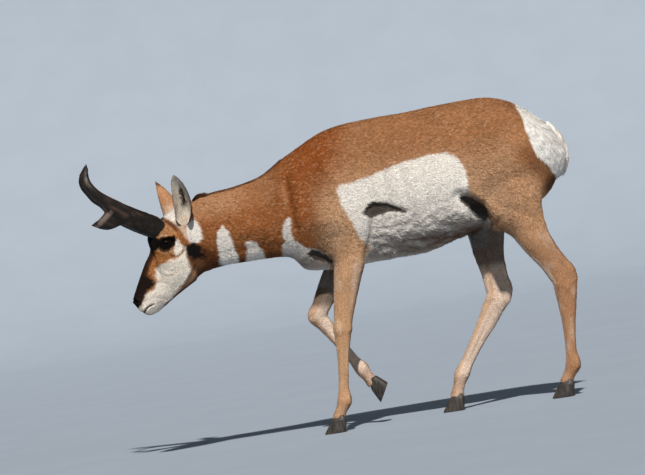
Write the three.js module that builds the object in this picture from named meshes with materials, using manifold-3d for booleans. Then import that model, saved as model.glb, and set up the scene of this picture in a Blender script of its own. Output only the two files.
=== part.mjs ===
// A pronghorn buck at life size, in millimetres: +Z up, nose towards -X, its left side towards -Y.
// It walks with its head low: three feet stand on the floor at z = 0 and the right forefoot is lifted.
// Flesh is lofted through sections and joined, and thin cuts part the body into its named nodes.
import * as THREE from "three";
import { mergeVertices } from "three/addons/utils/BufferGeometryUtils.js";
import Module from "manifold-3d";

const wasm = await Module();
wasm.setup();

// Gap between nodes that touch, and how finely the sections are drawn
const gap = 0.3;
const bodySides = 22;
const neckSides = 20;
const headSides = 24;
const legSides = 10;

// Trunk sections from the brisket to the rump: top [x, z], bottom [x, z], half width,
// height of the widest place (0 top, 1 bottom), roundness of the back and of the belly
const trunk = [
  [-66, 790, -80, 520, 34, 0.5, 2.0, 2.0],
  [-30, 818, -62, 498, 66, 0.5, 2.0, 1.9],
  [8, 844, -44, 478, 86, 0.5, 2.0, 1.9],
  [60, 868, 0, 468, 100, 0.5, 1.9, 1.8],
  [122, 881, 84, 463, 111, 0.52, 1.9, 1.8],
  [205, 886, 190, 469, 129, 0.54, 1.9, 2.0],
  [300, 887, 300, 473, 147, 0.55, 1.9, 2.2],
  [395, 892, 400, 493, 150, 0.54, 1.9, 2.2],
  [478, 895, 482, 518, 142, 0.5, 1.9, 2.2],
  [552, 893, 556, 545, 134, 0.48, 2.0, 2.2],
  [617, 871, 624, 560, 126, 0.46, 2.1, 2.2],
  [678, 829, 672, 570, 110, 0.44, 2.1, 2.2],
  [718, 793, 706, 600, 88, 0.44, 2.1, 2.2],
  [742, 757, 730, 632, 58, 0.46, 2.0, 2.0],
];
// Muscle and hollow on the flanks: centre x and z, spread along x and z, and how far it stands out
const trunkRelief = [
  [72, 735, 58, 100, 8],
  [2, 605, 46, 62, 13],
  [88, 590, 62, 62, 11],
  [168, 640, 36, 120, -8],
  [600, 690, 90, 110, 12],
  [455, 740, 52, 70, -9],
];

// Neck sections, in the same columns as the trunk, from behind the ears to inside the shoulders
const neckFlesh = [
  [-352, 724, -352, 503, 46, 0.5, 2.0, 2.0],
  [-318, 738, -322, 514, 55, 0.5, 2.0, 2.0],
  [-270, 745, -274, 521, 59, 0.52, 1.9, 2.1],
  [-205, 752, -212, 522, 62, 0.54, 1.9, 2.1],
  [-128, 770, -150, 522, 71, 0.56, 1.9, 2.1],
  [-56, 812, -92, 520, 83, 0.55, 1.9, 2.1],
  [4, 841, -52, 512, 92, 0.54, 1.9, 2.0],
  [44, 850, 10, 530, 88, 0.5, 1.9, 2.0],
];
// Planes that part head from neck and neck from trunk: a point on each, top and bottom
const headCut = [[-332, 760], [-341, 490]];
const neckCut = [[-14, 850], [-78, 505]];
// Planes that part the legs from the trunk, and the one between fore and hind legs
const foreCut = [[400, 462], [-200, 462]];
const hindCut = [[706, 570], [400, 488]];
const waistCut = [[230, 800], [230, 0]];

// Head sections from the nape to the lips, in the same columns. The head turns a little about the nape.
const headTurn = THREE.MathUtils.degToRad(6);
const nape = [-345, 0];
const skull = [
  [-312, 724, -318, 525, 44, 0.45, 2.0, 2.0],
  [-346, 727, -338, 507, 53, 0.42, 2.1, 2.1],
  [-386, 715, -362, 493, 58, 0.42, 2.2, 2.3],
  [-426, 694, -388, 479, 60, 0.42, 2.3, 2.5],
  [-460, 668, -411, 466, 58, 0.42, 2.4, 2.6],
  [-480, 638, -431, 454, 50, 0.45, 2.3, 2.6],
  [-478, 603, -448, 443, 42, 0.48, 2.2, 2.6],
  [-500, 566, -465, 432, 37, 0.5, 2.2, 2.5],
  [-519, 531, -480, 423, 32.5, 0.5, 2.2, 2.4],
  [-535, 500, -494, 418, 29.5, 0.5, 2.3, 2.4],
  [-546, 477, -508, 417, 28, 0.5, 2.4, 2.4],
  [-550, 461, -523, 424, 24, 0.48, 2.2, 2.3],
];
// Brow over the eye, cheek muscle, hollow before the eye, and the flesh round the nostril
const headRelief = [
  [-423, 623, 27, 26, 11],
  [-446, 652, 22, 24, 5],
  [-404, 560, 34, 40, 4],
  [-476, 585, 20, 24, -4],
  [-538, 462, 11, 11, 3],
];
const eye = { x: -430, y: 48, z: 614, radius: 23 };
const lid = { width: 43, height: 29, thick: 3.6, standsOut: 1.5, tilt: THREE.MathUtils.degToRad(15) };
const nostril = { x: -544, y: 17, z: 463, long: 9, high: 4, deep: 7 };
const mouth = { start: [-538, 419], corner: [-494, 448], depth: 5, height: 2.4 };

// Horn and its prong: a flat beam through sections [rear x, rear z, front x, front z, side y, half thickness]
const hornBeam = [
  [-420, 668, -458, 630, 34, 17],
  [-440, 693, -478, 645, 42, 18],
  [-468, 709, -501, 658, 56, 16.5],
  [-500, 727, -524, 673, 71, 15],
  [-531, 745, -550, 692, 86, 13.5],
  [-556, 762, -578, 722, 96, 12.5],
  [-577, 776, -596, 749, 103, 12],
  [-596, 791, -616, 768, 108, 11.5],
  [-610, 807, -631, 791, 109, 11],
  [-619, 824, -643, 811, 106, 10],
  [-622, 842, -647, 831, 99, 9],
  [-620, 860, -642, 853, 89, 7],
];
const hornProng = [
  [-540, 742, -534, 694, 82, 8],
  [-566, 744, -562, 684, 90, 9],
  [-586, 733, -584, 681, 95, 7.5],
  [-606, 716, -603, 686, 97, 5],
  [-618, 710, -617, 693, 96, 3.5],
];
const beamTip = { x: -622, z: 880, y: 78 };
const prongTip = { x: -634, z: 702, y: 92 };

// Ears: root, tip, the way the cup opens, width and depth of the cup, and thickness
const ear = { width: 53, widestAt: 0.42, thick: 4, bow: 9 };
const earPose = {
  left: { root: [-366, -44, 664], tip: [-381, -90, 804], opens: [-0.35, -0.9, -0.1] },
  right: { root: [-384, 44, 666], tip: [-424, 90, 798], opens: [-0.62, 0.78, -0.15] },
};

// Foreleg: girths down the bones, as [bone, share of it, in front, behind, half width].
// The bones run upper arm, forearm, cannon and pastern.
const foreGirth = [
  [0, 0.0, 58, 52, 30],
  [0, 0.6, 60, 52, 42],
  [1, 0.0, 53, 45, 44],
  [1, 0.2, 46, 38, 38],
  [1, 0.42, 41, 33, 31],
  [1, 0.66, 36, 28, 25],
  [1, 0.86, 31, 25, 22],
  [2, 0.0, 29, 25, 23.5],
  [2, 0.12, 25, 23, 20],
  [2, 0.32, 20, 18, 16],
  [2, 0.56, 16.5, 16.5, 14.5],
  [2, 0.82, 16.5, 17, 15],
  [3, 0.0, 20, 24, 20],
  [3, 0.5, 17, 18, 18],
  [3, 1.0, 21, 22, 22],
];
const hindGirth = [
  [0, 0.0, 84, 74, 34],
  [0, 0.45, 104, 92, 53],
  [1, 0.0, 99, 97, 56],
  [1, 0.16, 76, 80, 49],
  [1, 0.32, 56, 62, 40],
  [1, 0.55, 47, 42, 29],
  [1, 0.78, 37, 40, 22],
  [1, 0.91, 36, 43, 20],
  [2, 0.0, 35, 39, 22.5],
  [2, 0.16, 30, 35, 20],
  [2, 0.34, 23, 29, 17],
  [2, 0.58, 18, 21, 15],
  [2, 0.84, 16.5, 18, 15.5],
  [3, 0.0, 21, 25, 21],
  [3, 0.5, 18, 18, 18],
  [3, 1.0, 22, 23, 22.5],
];
// The far hind leg turns its wider side towards the viewer below the hock
const farHindGirth = hindGirth.map(([bone, share, front, rear, half]) =>
  bone === 2 && share > 0.2 ? [bone, share, front + 2, rear + 3, half] : [bone, share, front, rear, half]);
// Leg poses: five joints [x, z] from inside the body to the coronet, and the side y at each
const legs = {
  foreleg_left: {
    side: -1, girth: foreGirth, across: [58, 62, 66, 69, 70],
    joints: [[112, 592], [94, 488], [40, 290], [10, 87], [-13, 38]], hoofTilt: 0,
  },
  foreleg_right: {
    side: 1, girth: foreGirth, across: [58, 62, 66, 69, 70],
    joints: [[112, 604], [86, 510], [-26, 338], [77, 161], [104, 118]], hoofTilt: 62,
  },
  hindleg_left: {
    side: -1, girth: hindGirth, across: [64, 78, 78, 77, 77],
    joints: [[622, 735], [574, 575], [690, 337], [676, 88], [650, 38]], hoofTilt: 0,
  },
  hindleg_right: {
    side: 1, girth: farHindGirth, across: [64, 78, 80, 82, 83],
    joints: [[600, 735], [492, 582], [505, 317], [361, 103], [338, 38]], hoofTilt: 0,
  },
};
const hoof = { length: 62, coronetLength: 44, width: 25, coronetWidth: 21, height: 38, lean: 15, cleft: 1.6 };

// Tail, and the locks of coarse hair: mane along the nape and fringe of the tail
const tail = { root: [722, 786], tip: [744, 676], halfWidth: 17, halfDepth: 11 };
const mane = { count: 20, from: -322, to: -92, length: 46, width: 15, thick: 5, rows: 2 };
const tailLocks = { count: 9, length: 36, width: 15, thick: 5 };
const randomSeed = 7;

// Colours of the coat, horn, hoof and eye
const tan = new THREE.Color(0.5, 0.25, 0.11);
const white = new THREE.Color(0.85, 0.8, 0.74);
const earTan = new THREE.Color(0.52, 0.36, 0.22);
const hornBlack = new THREE.Color(0.035, 0.028, 0.025);
const hoofBlack = new THREE.Color(0.05, 0.045, 0.04);
const eyeBlack = new THREE.Color(0.015, 0.01, 0.008);

// A repeatable random draw between 0 and 1
function randomDraws(seed) {
  let state = seed;
  return () => {
    state = (state * 16807) % 2147483647;
    return state / 2147483647;
  };
}

// Rows of numbers resampled to a given count along a smooth curve through them
function smoothRows(rows, count, placeOf) {
  const knots = [0];
  for (let i = 1; i < rows.length; i++) {
    knots.push(knots[i - 1] + placeOf(rows[i]).distanceTo(placeOf(rows[i - 1])));
  }
  const slope = (i, c) => {
    const before = Math.max(i - 1, 0);
    const after = Math.min(i + 1, rows.length - 1);
    return (rows[after][c] - rows[before][c]) / (knots[after] - knots[before]);
  };
  const made = [];
  for (let k = 0; k < count; k++) {
    const at = (knots.at(-1) * k) / (count - 1);
    let i = 0;
    while (i < rows.length - 2 && knots[i + 1] < at) i++;
    const span = knots[i + 1] - knots[i];
    const t = (at - knots[i]) / span;
    made.push(
      rows[i].map((value, c) => {
        const rise = rows[i + 1][c] - value;
        const a = slope(i, c) * span - rise;
        const b = -slope(i + 1, c) * span + rise;
        return value + rise * t + t * (1 - t) * (a * (1 - t) + b * t);
      }),
    );
  }
  return made;
}

// Closed surface through rings of equal count, with a fan over each end
function loftGeometry(rings) {
  const sides = rings[0].length;
  const corners = rings.flat();
  const middle = (ring) => ring.reduce((sum, p) => sum.add(p), new THREE.Vector3()).divideScalar(sides);
  const startPole = corners.push(middle(rings[0])) - 1;
  const endPole = corners.push(middle(rings.at(-1))) - 1;
  const faces = [];
  for (let i = 0; i + 1 < rings.length; i++) {
    for (let j = 0; j < sides; j++) {
      const a = i * sides + j;
      const b = i * sides + ((j + 1) % sides);
      faces.push(a, a + sides, b, b, a + sides, b + sides);
    }
  }
  const last = (rings.length - 1) * sides;
  for (let j = 0; j < sides; j++) {
    const next = (j + 1) % sides;
    faces.push(startPole, j, next, endPole, last + next, last + j);
  }
  const geometry = new THREE.BufferGeometry().setFromPoints(corners);
  geometry.setIndex(faces);
  return geometry;
}

// A geometry as a closed solid, turned right side out
function solidOf(geometry) {
  const bare = geometry.clone();
  bare.deleteAttribute("normal");
  bare.deleteAttribute("uv");
  const merged = mergeVertices(bare, 1e-4);
  const triVerts = new Uint32Array(merged.index.array);
  const vertProperties = merged.attributes.position.array;
  let made = new wasm.Manifold(new wasm.Mesh({ numProp: 3, vertProperties, triVerts }));
  if (made.volume() < 0) {
    for (let i = 0; i < triVerts.length; i += 3) {
      [triVerts[i + 1], triVerts[i + 2]] = [triVerts[i + 2], triVerts[i + 1]];
    }
    made = new wasm.Manifold(new wasm.Mesh({ numProp: 3, vertProperties, triVerts }));
  }
  return made;
}

const loft = (rings) => solidOf(loftGeometry(rings));
const joined = (solids) => solids.reduce((sum, next) => sum.add(next));
const larger = (best, next) => (next.volume() > best.volume() ? next : best);
const largest = (solid) => solid.decompose().reduce(larger);

// Superellipse section in the plane of a top and a bottom point, level across
function section(row, sides, grow = 0, relief = []) {
  const [topX, topZ, bottomX, bottomZ, half, widest, backPower, bellyPower] = row;
  const down = new THREE.Vector2(bottomX - topX, bottomZ - topZ);
  const depth = down.length();
  down.divideScalar(depth);
  const points = [];
  for (let j = 0; j < sides; j++) {
    const turn = (2 * Math.PI * (j + 0.5)) / sides;
    const up = Math.cos(turn);
    const out = Math.sin(turn);
    const power = 2 / (up > 0 ? backPower : bellyPower);
    const reach = (up > 0 ? depth * widest : depth * (1 - widest)) + grow;
    const rise = Math.sign(up) * Math.abs(up) ** power * reach;
    const along = depth * widest - rise;
    const x = topX + down.x * along;
    const z = topZ + down.y * along;
    let y = Math.sign(out) * Math.abs(out) ** power * (half + grow);
    for (const [reliefX, reliefZ, spreadX, spreadZ, height] of relief) {
      const fade = Math.exp(-(((x - reliefX) / spreadX) ** 2) - ((z - reliefZ) / spreadZ) ** 2);
      y += Math.sign(out) * height * fade * Math.abs(out);
    }
    points.push(new THREE.Vector3(x, y, z));
  }
  return points;
}

const sectionPlace = (row) => new THREE.Vector2((row[0] + row[2]) / 2, (row[1] + row[3]) / 2);

function fleshLoft(rows, count, sides, grow, relief) {
  return loft(smoothRows(rows, count, sectionPlace).map((row) => section(row, sides, grow, relief)));
}

// The head is drawn straight ahead, then everything on it turns about the nape
function turned(solid) {
  const degrees = THREE.MathUtils.radToDeg(headTurn);
  return solid.translate([-nape[0], -nape[1], 0]).rotate([0, 0, degrees]).translate([nape[0], nape[1], 0]);
}

// A leg's surface: sections across a path down the bones, each set square to the path
function legRings(leg, grow = 0) {
  const stations = leg.girth.map(([bone, share, front, rear, half]) => {
    const [from, to] = [leg.joints[bone], leg.joints[bone + 1]];
    const x = from[0] + (to[0] - from[0]) * share;
    const z = from[1] + (to[1] - from[1]) * share;
    const y = leg.across[bone] + (leg.across[bone + 1] - leg.across[bone]) * share;
    return [x, z, front, rear, half, y];
  });
  const rows = smoothRows(stations, stations.length * 2 - 1, (row) => new THREE.Vector2(row[0], row[1]));
  return rows.map(([x, z, front, rear, half, y], i) => {
    const before = rows[Math.max(i - 1, 0)];
    const after = rows[Math.min(i + 1, rows.length - 1)];
    const way = new THREE.Vector2(after[0] - before[0], after[1] - before[1]).normalize();
    const points = [];
    for (let j = 0; j < legSides; j++) {
      const turn = (2 * Math.PI * j) / legSides;
      const ahead = Math.cos(turn) * (Math.cos(turn) > 0 ? front + grow : rear + grow);
      const side = Math.sin(turn) * (half + grow);
      points.push(new THREE.Vector3(x + way.y * ahead, leg.side * (y + side), z - way.x * ahead));
    }
    return points;
  });
}

// Half space on the far side of a line in the x z plane, as a large box; ahead = 1 keeps the nose side
function sideOfCut([upper, lower], ahead, clearance) {
  const reach = 3000;
  const way = new THREE.Vector2(upper[0] - lower[0], upper[1] - lower[1]).normalize();
  const box = new THREE.BoxGeometry(reach, reach, reach);
  const tilt = Math.atan2(way.x, way.y);
  const outward = new THREE.Vector2(-way.y * ahead, way.x * ahead);
  box.rotateY(tilt);
  box.translate(
    lower[0] + outward.x * (reach / 2 + clearance),
    0,
    lower[1] + outward.y * (reach / 2 + clearance),
  );
  return solidOf(box);
}

// Half space on one side of the body's middle plane
function sideHalf(side) {
  const reach = 3000;
  const box = new THREE.BoxGeometry(reach, reach, reach);
  box.translate(0, side * (reach / 2), 0);
  return solidOf(box);
}

// A flat, tapered, bending lock of hair: four sided rings that narrow to a tip
function lock(root, lie, outward, length, width, thick, lift) {
  const across = new THREE.Vector3().crossVectors(lie, outward).normalize();
  const shares = [-0.16, 0.2, 0.55, 0.82];
  const widths = [0.7, 1, 0.8, 0.45];
  const rings = shares.map((share, i) => {
    const centre = root.clone().addScaledVector(lie, length * share);
    centre.addScaledVector(outward, lift * Math.sin(Math.PI * Math.max(share, 0) * 0.75) - thick * 0.3);
    const half = (width / 2) * widths[i];
    const deep = (thick / 2) * widths[i];
    return [[1, 0], [0, 1], [-1, 0], [0, -1]].map(([a, o]) =>
      centre.clone().addScaledVector(across, a * half).addScaledVector(outward, o * deep));
  });
  const tip = root.clone().addScaledVector(lie, length).addScaledVector(outward, lift * 0.7);
  rings.push(rings[0].map((_, j) => tip.clone().addScaledVector(across, [0.5, 0, -0.5, 0][j])
    .addScaledVector(outward, [0, 0.4, 0, -0.4][j])));
  return loft(rings);
}

// Short stiff mane: rows of locks along the nape that lie back over the neck
function maneLocks(draw) {
  const locks = [];
  const line = smoothRows(neckFlesh, 60, sectionPlace);
  for (let i = 0; i < mane.count; i++) {
    for (let row = 0; row < mane.rows; row++) {
      const x = mane.from + ((mane.to - mane.from) * (i + 0.5 * row)) / mane.count;
      const at = line.findIndex((r) => r[0] > x);
      const share = (x - line[at - 1][0]) / (line[at][0] - line[at - 1][0]);
      const z = line[at - 1][1] + (line[at][1] - line[at - 1][1]) * share;
      const slope = Math.atan2(line[at][1] - line[at - 1][1], line[at][0] - line[at - 1][0]);
      const aside = (row - (mane.rows - 1) / 2) * 9 + (draw() - 0.5) * 5;
      const root = new THREE.Vector3(x, aside, z - Math.abs(aside) * 0.35 - 1.5);
      const lie = new THREE.Vector3(Math.cos(slope), (draw() - 0.5) * 0.2, Math.sin(slope)).normalize();
      const outward = new THREE.Vector3(-Math.sin(slope), aside * 0.03, Math.cos(slope)).normalize();
      const fade = Math.sin(Math.PI * Math.min(1, (i + 3) / (mane.count + 4))) ** 0.5;
      const length = mane.length * (0.7 + 0.3 * fade);
      locks.push(lock(root, lie, outward, length, mane.width, mane.thick, 2 + 2 * fade));
    }
  }
  return locks;
}

function tailSolid(draw) {
  const steps = 9;
  const centre = (t) => new THREE.Vector3(
    tail.root[0] + (tail.tip[0] - tail.root[0]) * t + 12 * Math.sin(Math.PI * t), 0,
    tail.root[1] + (tail.tip[1] - tail.root[1]) * t);
  const rings = [];
  for (let i = 0; i <= steps; i++) {
    const t = i / steps;
    const swell = Math.sin(Math.PI * (0.2 + 0.72 * t)) ** 0.8;
    rings.push(Array.from({ length: 10 }, (_, j) => {
      const turn = (2 * Math.PI * j) / 10;
      return centre(t).add(new THREE.Vector3(
        Math.cos(turn) * tail.halfDepth * swell, Math.sin(turn) * tail.halfWidth * swell, 0));
    }));
  }
  const pieces = [loft(rings)];
  for (let i = 0; i < tailLocks.count; i++) {
    const t = 0.2 + 0.62 * (i / (tailLocks.count - 1));
    const turn = -1.15 + 2.3 * ((i * 5) % tailLocks.count) / (tailLocks.count - 1);
    const outward = new THREE.Vector3(Math.cos(turn), Math.sin(turn), 0);
    const swell = Math.sin(Math.PI * (0.2 + 0.72 * t)) ** 0.8;
    const root = centre(t).add(new THREE.Vector3(
      Math.cos(turn) * tail.halfDepth * swell * 0.85, Math.sin(turn) * tail.halfWidth * swell * 0.85, 0));
    const lie = new THREE.Vector3(0.12, Math.sin(turn) * 0.12 + (draw() - 0.5) * 0.1, -1).normalize();
    const length = tailLocks.length * (0.8 + 0.4 * draw());
    pieces.push(lock(root, lie, outward, length, tailLocks.width, tailLocks.thick, 2));
  }
  return joined(pieces);
}

// Blade section of the horn: a lens between a rear and a front edge
function hornSolid(side, grow = 0) {
  const blade = (rows, count, tip) => {
    const place = (row) => new THREE.Vector3((row[0] + row[2]) / 2, row[4], (row[1] + row[3]) / 2);
    const rings = smoothRows(rows, count, place).map(([rearX, rearZ, frontX, frontZ, y, half]) => {
      const ahead = new THREE.Vector3(frontX - rearX, 0, frontZ - rearZ).multiplyScalar(0.5);
      const reach = (ahead.length() + grow) / ahead.length();
      return Array.from({ length: 10 }, (_, j) => {
        const turn = (2 * Math.PI * j) / 10;
        return new THREE.Vector3(
          (rearX + frontX) / 2 + ahead.x * Math.cos(turn) * reach,
          side * (y + Math.sin(turn) * (half + grow)),
          (rearZ + frontZ) / 2 + ahead.z * Math.cos(turn) * reach);
      });
    });
    const point = new THREE.Vector3(tip.x, side * tip.y, tip.z);
    rings.push(rings.at(-1).map((p) => point.clone().addScaledVector(p.clone().sub(point), 0.12)));
    return loft(rings);
  };
  return turned(joined([blade(hornBeam, 15, beamTip), blade(hornProng, 8, prongTip)]));
}

// Ear: a leaf that curls round its length into a cup, with a thin wall, narrowing to a tube at its root
function earSolid(name) {
  const pose = earPose[name];
  const root = new THREE.Vector3(...pose.root);
  const up = new THREE.Vector3(...pose.tip).sub(root);
  const length = up.length();
  up.normalize();
  const opens = new THREE.Vector3(...pose.opens);
  opens.addScaledVector(up, -opens.dot(up)).normalize();
  const across = new THREE.Vector3().crossVectors(up, opens);
  const rows = 11;
  const columns = 8;
  const wall = (inset) => {
    const rings = [];
    for (let i = 0; i <= rows; i++) {
      const t = i / rows;
      const above = Math.max(t - ear.widestAt, 0) / (1 - ear.widestAt);
      const below = Math.max(ear.widestAt - t, 0) / ear.widestAt;
      const leaf = (1 - above ** 2.2) ** 0.85 * (1 - 0.6 * below ** 4);
      const half = Math.max((ear.width / 2) * leaf, 1.5) - inset * 0.5;
      const curl = 2.2 - 1.2 * t;
      const radius = half / Math.sin(Math.min(curl, Math.PI / 2));
      const back = ear.bow * Math.sin(Math.PI * t);
      rings.push(Array.from({ length: columns + 1 }, (_, j) => {
        const angle = curl * ((2 * j) / columns - 1);
        return root.clone()
          .addScaledVector(up, length * t)
          .addScaledVector(across, (radius - inset) * Math.sin(angle))
          .addScaledVector(opens, -(radius - inset) * Math.cos(angle) + radius * 0.6 - back * 0.3)
          .add(new THREE.Vector3(back, 0, 0));
      }));
    }
    return rings;
  };
  const outer = wall(0);
  const inner = wall(ear.thick);
  const corners = [...outer.flat(), ...inner.flat()];
  const perRow = columns + 1;
  const offset = outer.length * perRow;
  const faces = [];
  const quad = (a, b, c, d) => faces.push(a, b, c, a, c, d);
  for (let i = 0; i < rows; i++) {
    for (let j = 0; j < columns; j++) {
      const a = i * perRow + j;
      quad(a, a + 1, a + perRow + 1, a + perRow);
      quad(offset + a, offset + a + perRow, offset + a + perRow + 1, offset + a + 1);
    }
    const first = i * perRow;
    const last = first + columns;
    quad(first, first + perRow, offset + first + perRow, offset + first);
    quad(last, offset + last, offset + last + perRow, last + perRow);
  }
  const top = rows * perRow;
  for (let j = 0; j < columns; j++) {
    quad(j, offset + j, offset + j + 1, j + 1);
    quad(top + j, top + j + 1, offset + top + j + 1, offset + top + j);
  }
  const geometry = new THREE.BufferGeometry().setFromPoints(corners);
  geometry.setIndex(faces);
  const foot = new THREE.SphereGeometry(17, 14, 9);
  foot.scale(1, 0.85, 1.25);
  const footPlace = root.clone().addScaledVector(up, 6);
  foot.translate(footPlace.x, footPlace.y, footPlace.z);
  return turned(solidOf(geometry).add(solidOf(foot)));
}

function eyeSolid(side, grow = 0) {
  const ball = new THREE.SphereGeometry(eye.radius + grow, 14, 9);
  ball.translate(eye.x, side * eye.y, eye.z);
  return turned(solidOf(ball));
}

// Upper and lower lid: a ring of flesh that follows the eyeball round an almond opening
function lidSolid(side) {
  const steps = 28;
  const rings = [];
  for (let i = 0; i < steps; i++) {
    const turn = (2 * Math.PI * i) / steps;
    const wide = (lid.width / 2) * Math.cos(turn);
    const tall = (lid.height / 2) * Math.sin(turn) * (1 - 0.18 * Math.abs(Math.cos(turn)));
    const u = wide * Math.cos(lid.tilt) - tall * Math.sin(lid.tilt);
    const v = wide * Math.sin(lid.tilt) + tall * Math.cos(lid.tilt);
    const out = Math.sqrt(Math.max((eye.radius + lid.standsOut) ** 2 - u * u - v * v, 16));
    const centre = new THREE.Vector3(u, out, v);
    const away = new THREE.Vector3(u, 0, v).normalize();
    const proud = centre.clone().normalize();
    rings.push(Array.from({ length: 6 }, (_, j) => {
      const angle = (2 * Math.PI * j) / 6;
      const p = centre.clone().addScaledVector(away, Math.cos(angle) * lid.thick)
        .addScaledVector(proud, Math.sin(angle) * lid.thick * 0.8 - lid.thick * 0.3);
      return new THREE.Vector3(eye.x + p.x, side * (eye.y + p.y), eye.z + p.z);
    }));
  }
  rings.push(rings[0].map((p) => p.clone()));
  const corners = rings.slice(0, steps).flat();
  const faces = [];
  for (let i = 0; i < steps; i++) {
    for (let j = 0; j < 6; j++) {
      const a = i * 6 + j;
      const b = i * 6 + ((j + 1) % 6);
      const c = ((i + 1) % steps) * 6 + j;
      const d = ((i + 1) % steps) * 6 + ((j + 1) % 6);
      faces.push(a, c, b, b, c, d);
    }
  }
  const geometry = new THREE.BufferGeometry().setFromPoints(corners);
  geometry.setIndex(faces);
  return turned(solidOf(geometry));
}

// Nostril slit and the line of the mouth are cut into the muzzle
function nostrilCut(side) {
  const pit = new THREE.SphereGeometry(1, 12, 8);
  pit.scale(nostril.long, nostril.deep, nostril.high);
  pit.rotateY(THREE.MathUtils.degToRad(55));
  pit.translate(nostril.x, side * nostril.y, nostril.z);
  return turned(solidOf(pit));
}

function mouthCut() {
  const steps = 6;
  const rings = [];
  for (let i = 0; i <= steps; i++) {
    const t = i / steps;
    const x = mouth.start[0] + (mouth.corner[0] - mouth.start[0]) * t;
    const z = mouth.start[1] + (mouth.corner[1] - mouth.start[1]) * t - 5 * Math.sin(Math.PI * t);
    const height = mouth.height * (1 - 0.5 * t);
    rings.push([
      new THREE.Vector3(x - 4, -60, z + height / 2), new THREE.Vector3(x - 4, 60, z + height / 2),
      new THREE.Vector3(x - 4, 60, z - height / 2), new THREE.Vector3(x - 4, -60, z - height / 2),
    ]);
  }
  const core = smoothRows(skull, 30, sectionPlace).map((row) => section(row, headSides, -mouth.depth));
  return turned(loft(rings).subtract(loft(core)));
}

// One toe of a cloven hoof: teardrop rings from the sole to the coronet, flat underneath
function toeSolid(leg, inner) {
  const steps = 3;
  const rings = [];
  for (let i = 0; i <= steps; i++) {
    const t = i / steps;
    const length = hoof.length + (hoof.coronetLength - hoof.length) * t;
    const width = hoof.width + (hoof.coronetWidth - hoof.width) * t;
    const z = -hoof.height + (hoof.height - gap) * t;
    const ahead = -hoof.lean * (1 - t) + 2 * t;
    rings.push(Array.from({ length: 12 }, (_, j) => {
      const turn = (2 * Math.PI * j) / 12;
      const y = Math.sin(turn) * (width / 2) * (1 - 0.42 * Math.cos(turn));
      return new THREE.Vector3(ahead - Math.cos(turn) * (length / 2), y, z);
    }));
  }
  const geometry = loftGeometry(rings);
  const away = hoof.width / 2 + hoof.cleft / 2;
  geometry.translate(0, inner ? -leg.side * away : leg.side * away, 0);
  geometry.rotateY(-THREE.MathUtils.degToRad(leg.hoofTilt));
  const [x, z] = leg.joints.at(-1);
  geometry.translate(x, leg.side * leg.across.at(-1), z);
  return solidOf(geometry);
}

// Plane across a leg at its knee or hock, square to the bones on either side of it
function jointCut(leg) {
  const [before, at, after] = leg.joints.slice(1, 4);
  const down = new THREE.Vector2(after[0] - before[0], after[1] - before[1]).normalize();
  const span = 100;
  return [[at[0] - down.y * span, at[1] + down.x * span], [at[0] + down.y * span, at[1] - down.x * span]];
}

// The leg below its coronet plane is left to the hoof, so the leg is cut square there
function coronetCut(leg) {
  const [x, z] = leg.joints.at(-1);
  const tilt = THREE.MathUtils.degToRad(leg.hoofTilt);
  const along = [Math.cos(tilt) * 100, Math.sin(tilt) * 100];
  return [[x - along[0], z - along[1]], [x + along[0], z + along[1]]];
}

const coat = new THREE.MeshStandardMaterial({ color: tan, roughness: 0.9, metalness: 0 });
const paleCoat = new THREE.MeshStandardMaterial({ color: white, roughness: 0.9, metalness: 0 });
const earSkin = new THREE.MeshStandardMaterial({ color: earTan, roughness: 0.9, metalness: 0 });
const horn = new THREE.MeshStandardMaterial({ color: hornBlack, roughness: 0.45, metalness: 0 });
const nail = new THREE.MeshStandardMaterial({ color: hoofBlack, roughness: 0.4, metalness: 0 });
const wetEye = new THREE.MeshStandardMaterial({ color: eyeBlack, roughness: 0.05, metalness: 0 });

const pronghorn = new THREE.Group();
pronghorn.name = "pronghorn";

function addNode(name, solid, material) {
  const made = largest(solid).getMesh();
  const geometry = new THREE.BufferGeometry();
  geometry.setAttribute("position", new THREE.BufferAttribute(new Float32Array(made.vertProperties), 3));
  geometry.setIndex(new THREE.BufferAttribute(new Uint32Array(made.triVerts), 1));
  const mesh = new THREE.Mesh(geometry, material);
  mesh.name = name;
  pronghorn.add(mesh);
}

const draw = randomDraws(randomSeed);
const fleshUnderEars = turned(fleshLoft(skull, 24, headSides, gap, headRelief))
  .add(fleshLoft(neckFlesh, 16, neckSides, gap, []));
const flesh = [
  fleshLoft(trunk, 24, bodySides, 0, trunkRelief),
  fleshLoft(neckFlesh, 16, neckSides, 0, []),
  turned(fleshLoft(skull, 24, headSides, 0, headRelief)),
  ...Object.values(legs).map((leg) => loft(legRings(leg)).intersect(sideOfCut(coronetCut(leg), -1, 0))),
];

// The whole body as one solid, parted into its nodes by thin cuts
const whole = joined([...flesh, ...maneLocks(draw)]);
const tailHair = tailSolid(draw);
const aboveLegs = whole.intersect(sideOfCut(foreCut, 1, gap / 2)).intersect(sideOfCut(hindCut, 1, gap / 2));
const headPiece = whole.intersect(sideOfCut(headCut, 1, gap / 2));
const behindHead = aboveLegs.intersect(sideOfCut(headCut, -1, gap / 2));
const neckPiece = behindHead.intersect(sideOfCut(neckCut, 1, gap / 2));
addNode("torso", aboveLegs.intersect(sideOfCut(neckCut, -1, gap / 2)).subtract(tailHair), coat);
addNode("neck", neckPiece, coat);
addNode("tail", tailHair.subtract(fleshLoft(trunk, 24, bodySides, gap, trunkRelief)), paleCoat);

const faceParts = [1, -1].reduce(
  (head, side) => head.add(lidSolid(side)).subtract(eyeSolid(side, gap)).subtract(nostrilCut(side)),
  headPiece,
);
addNode("head", faceParts.subtract(mouthCut()), paleCoat);

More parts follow.
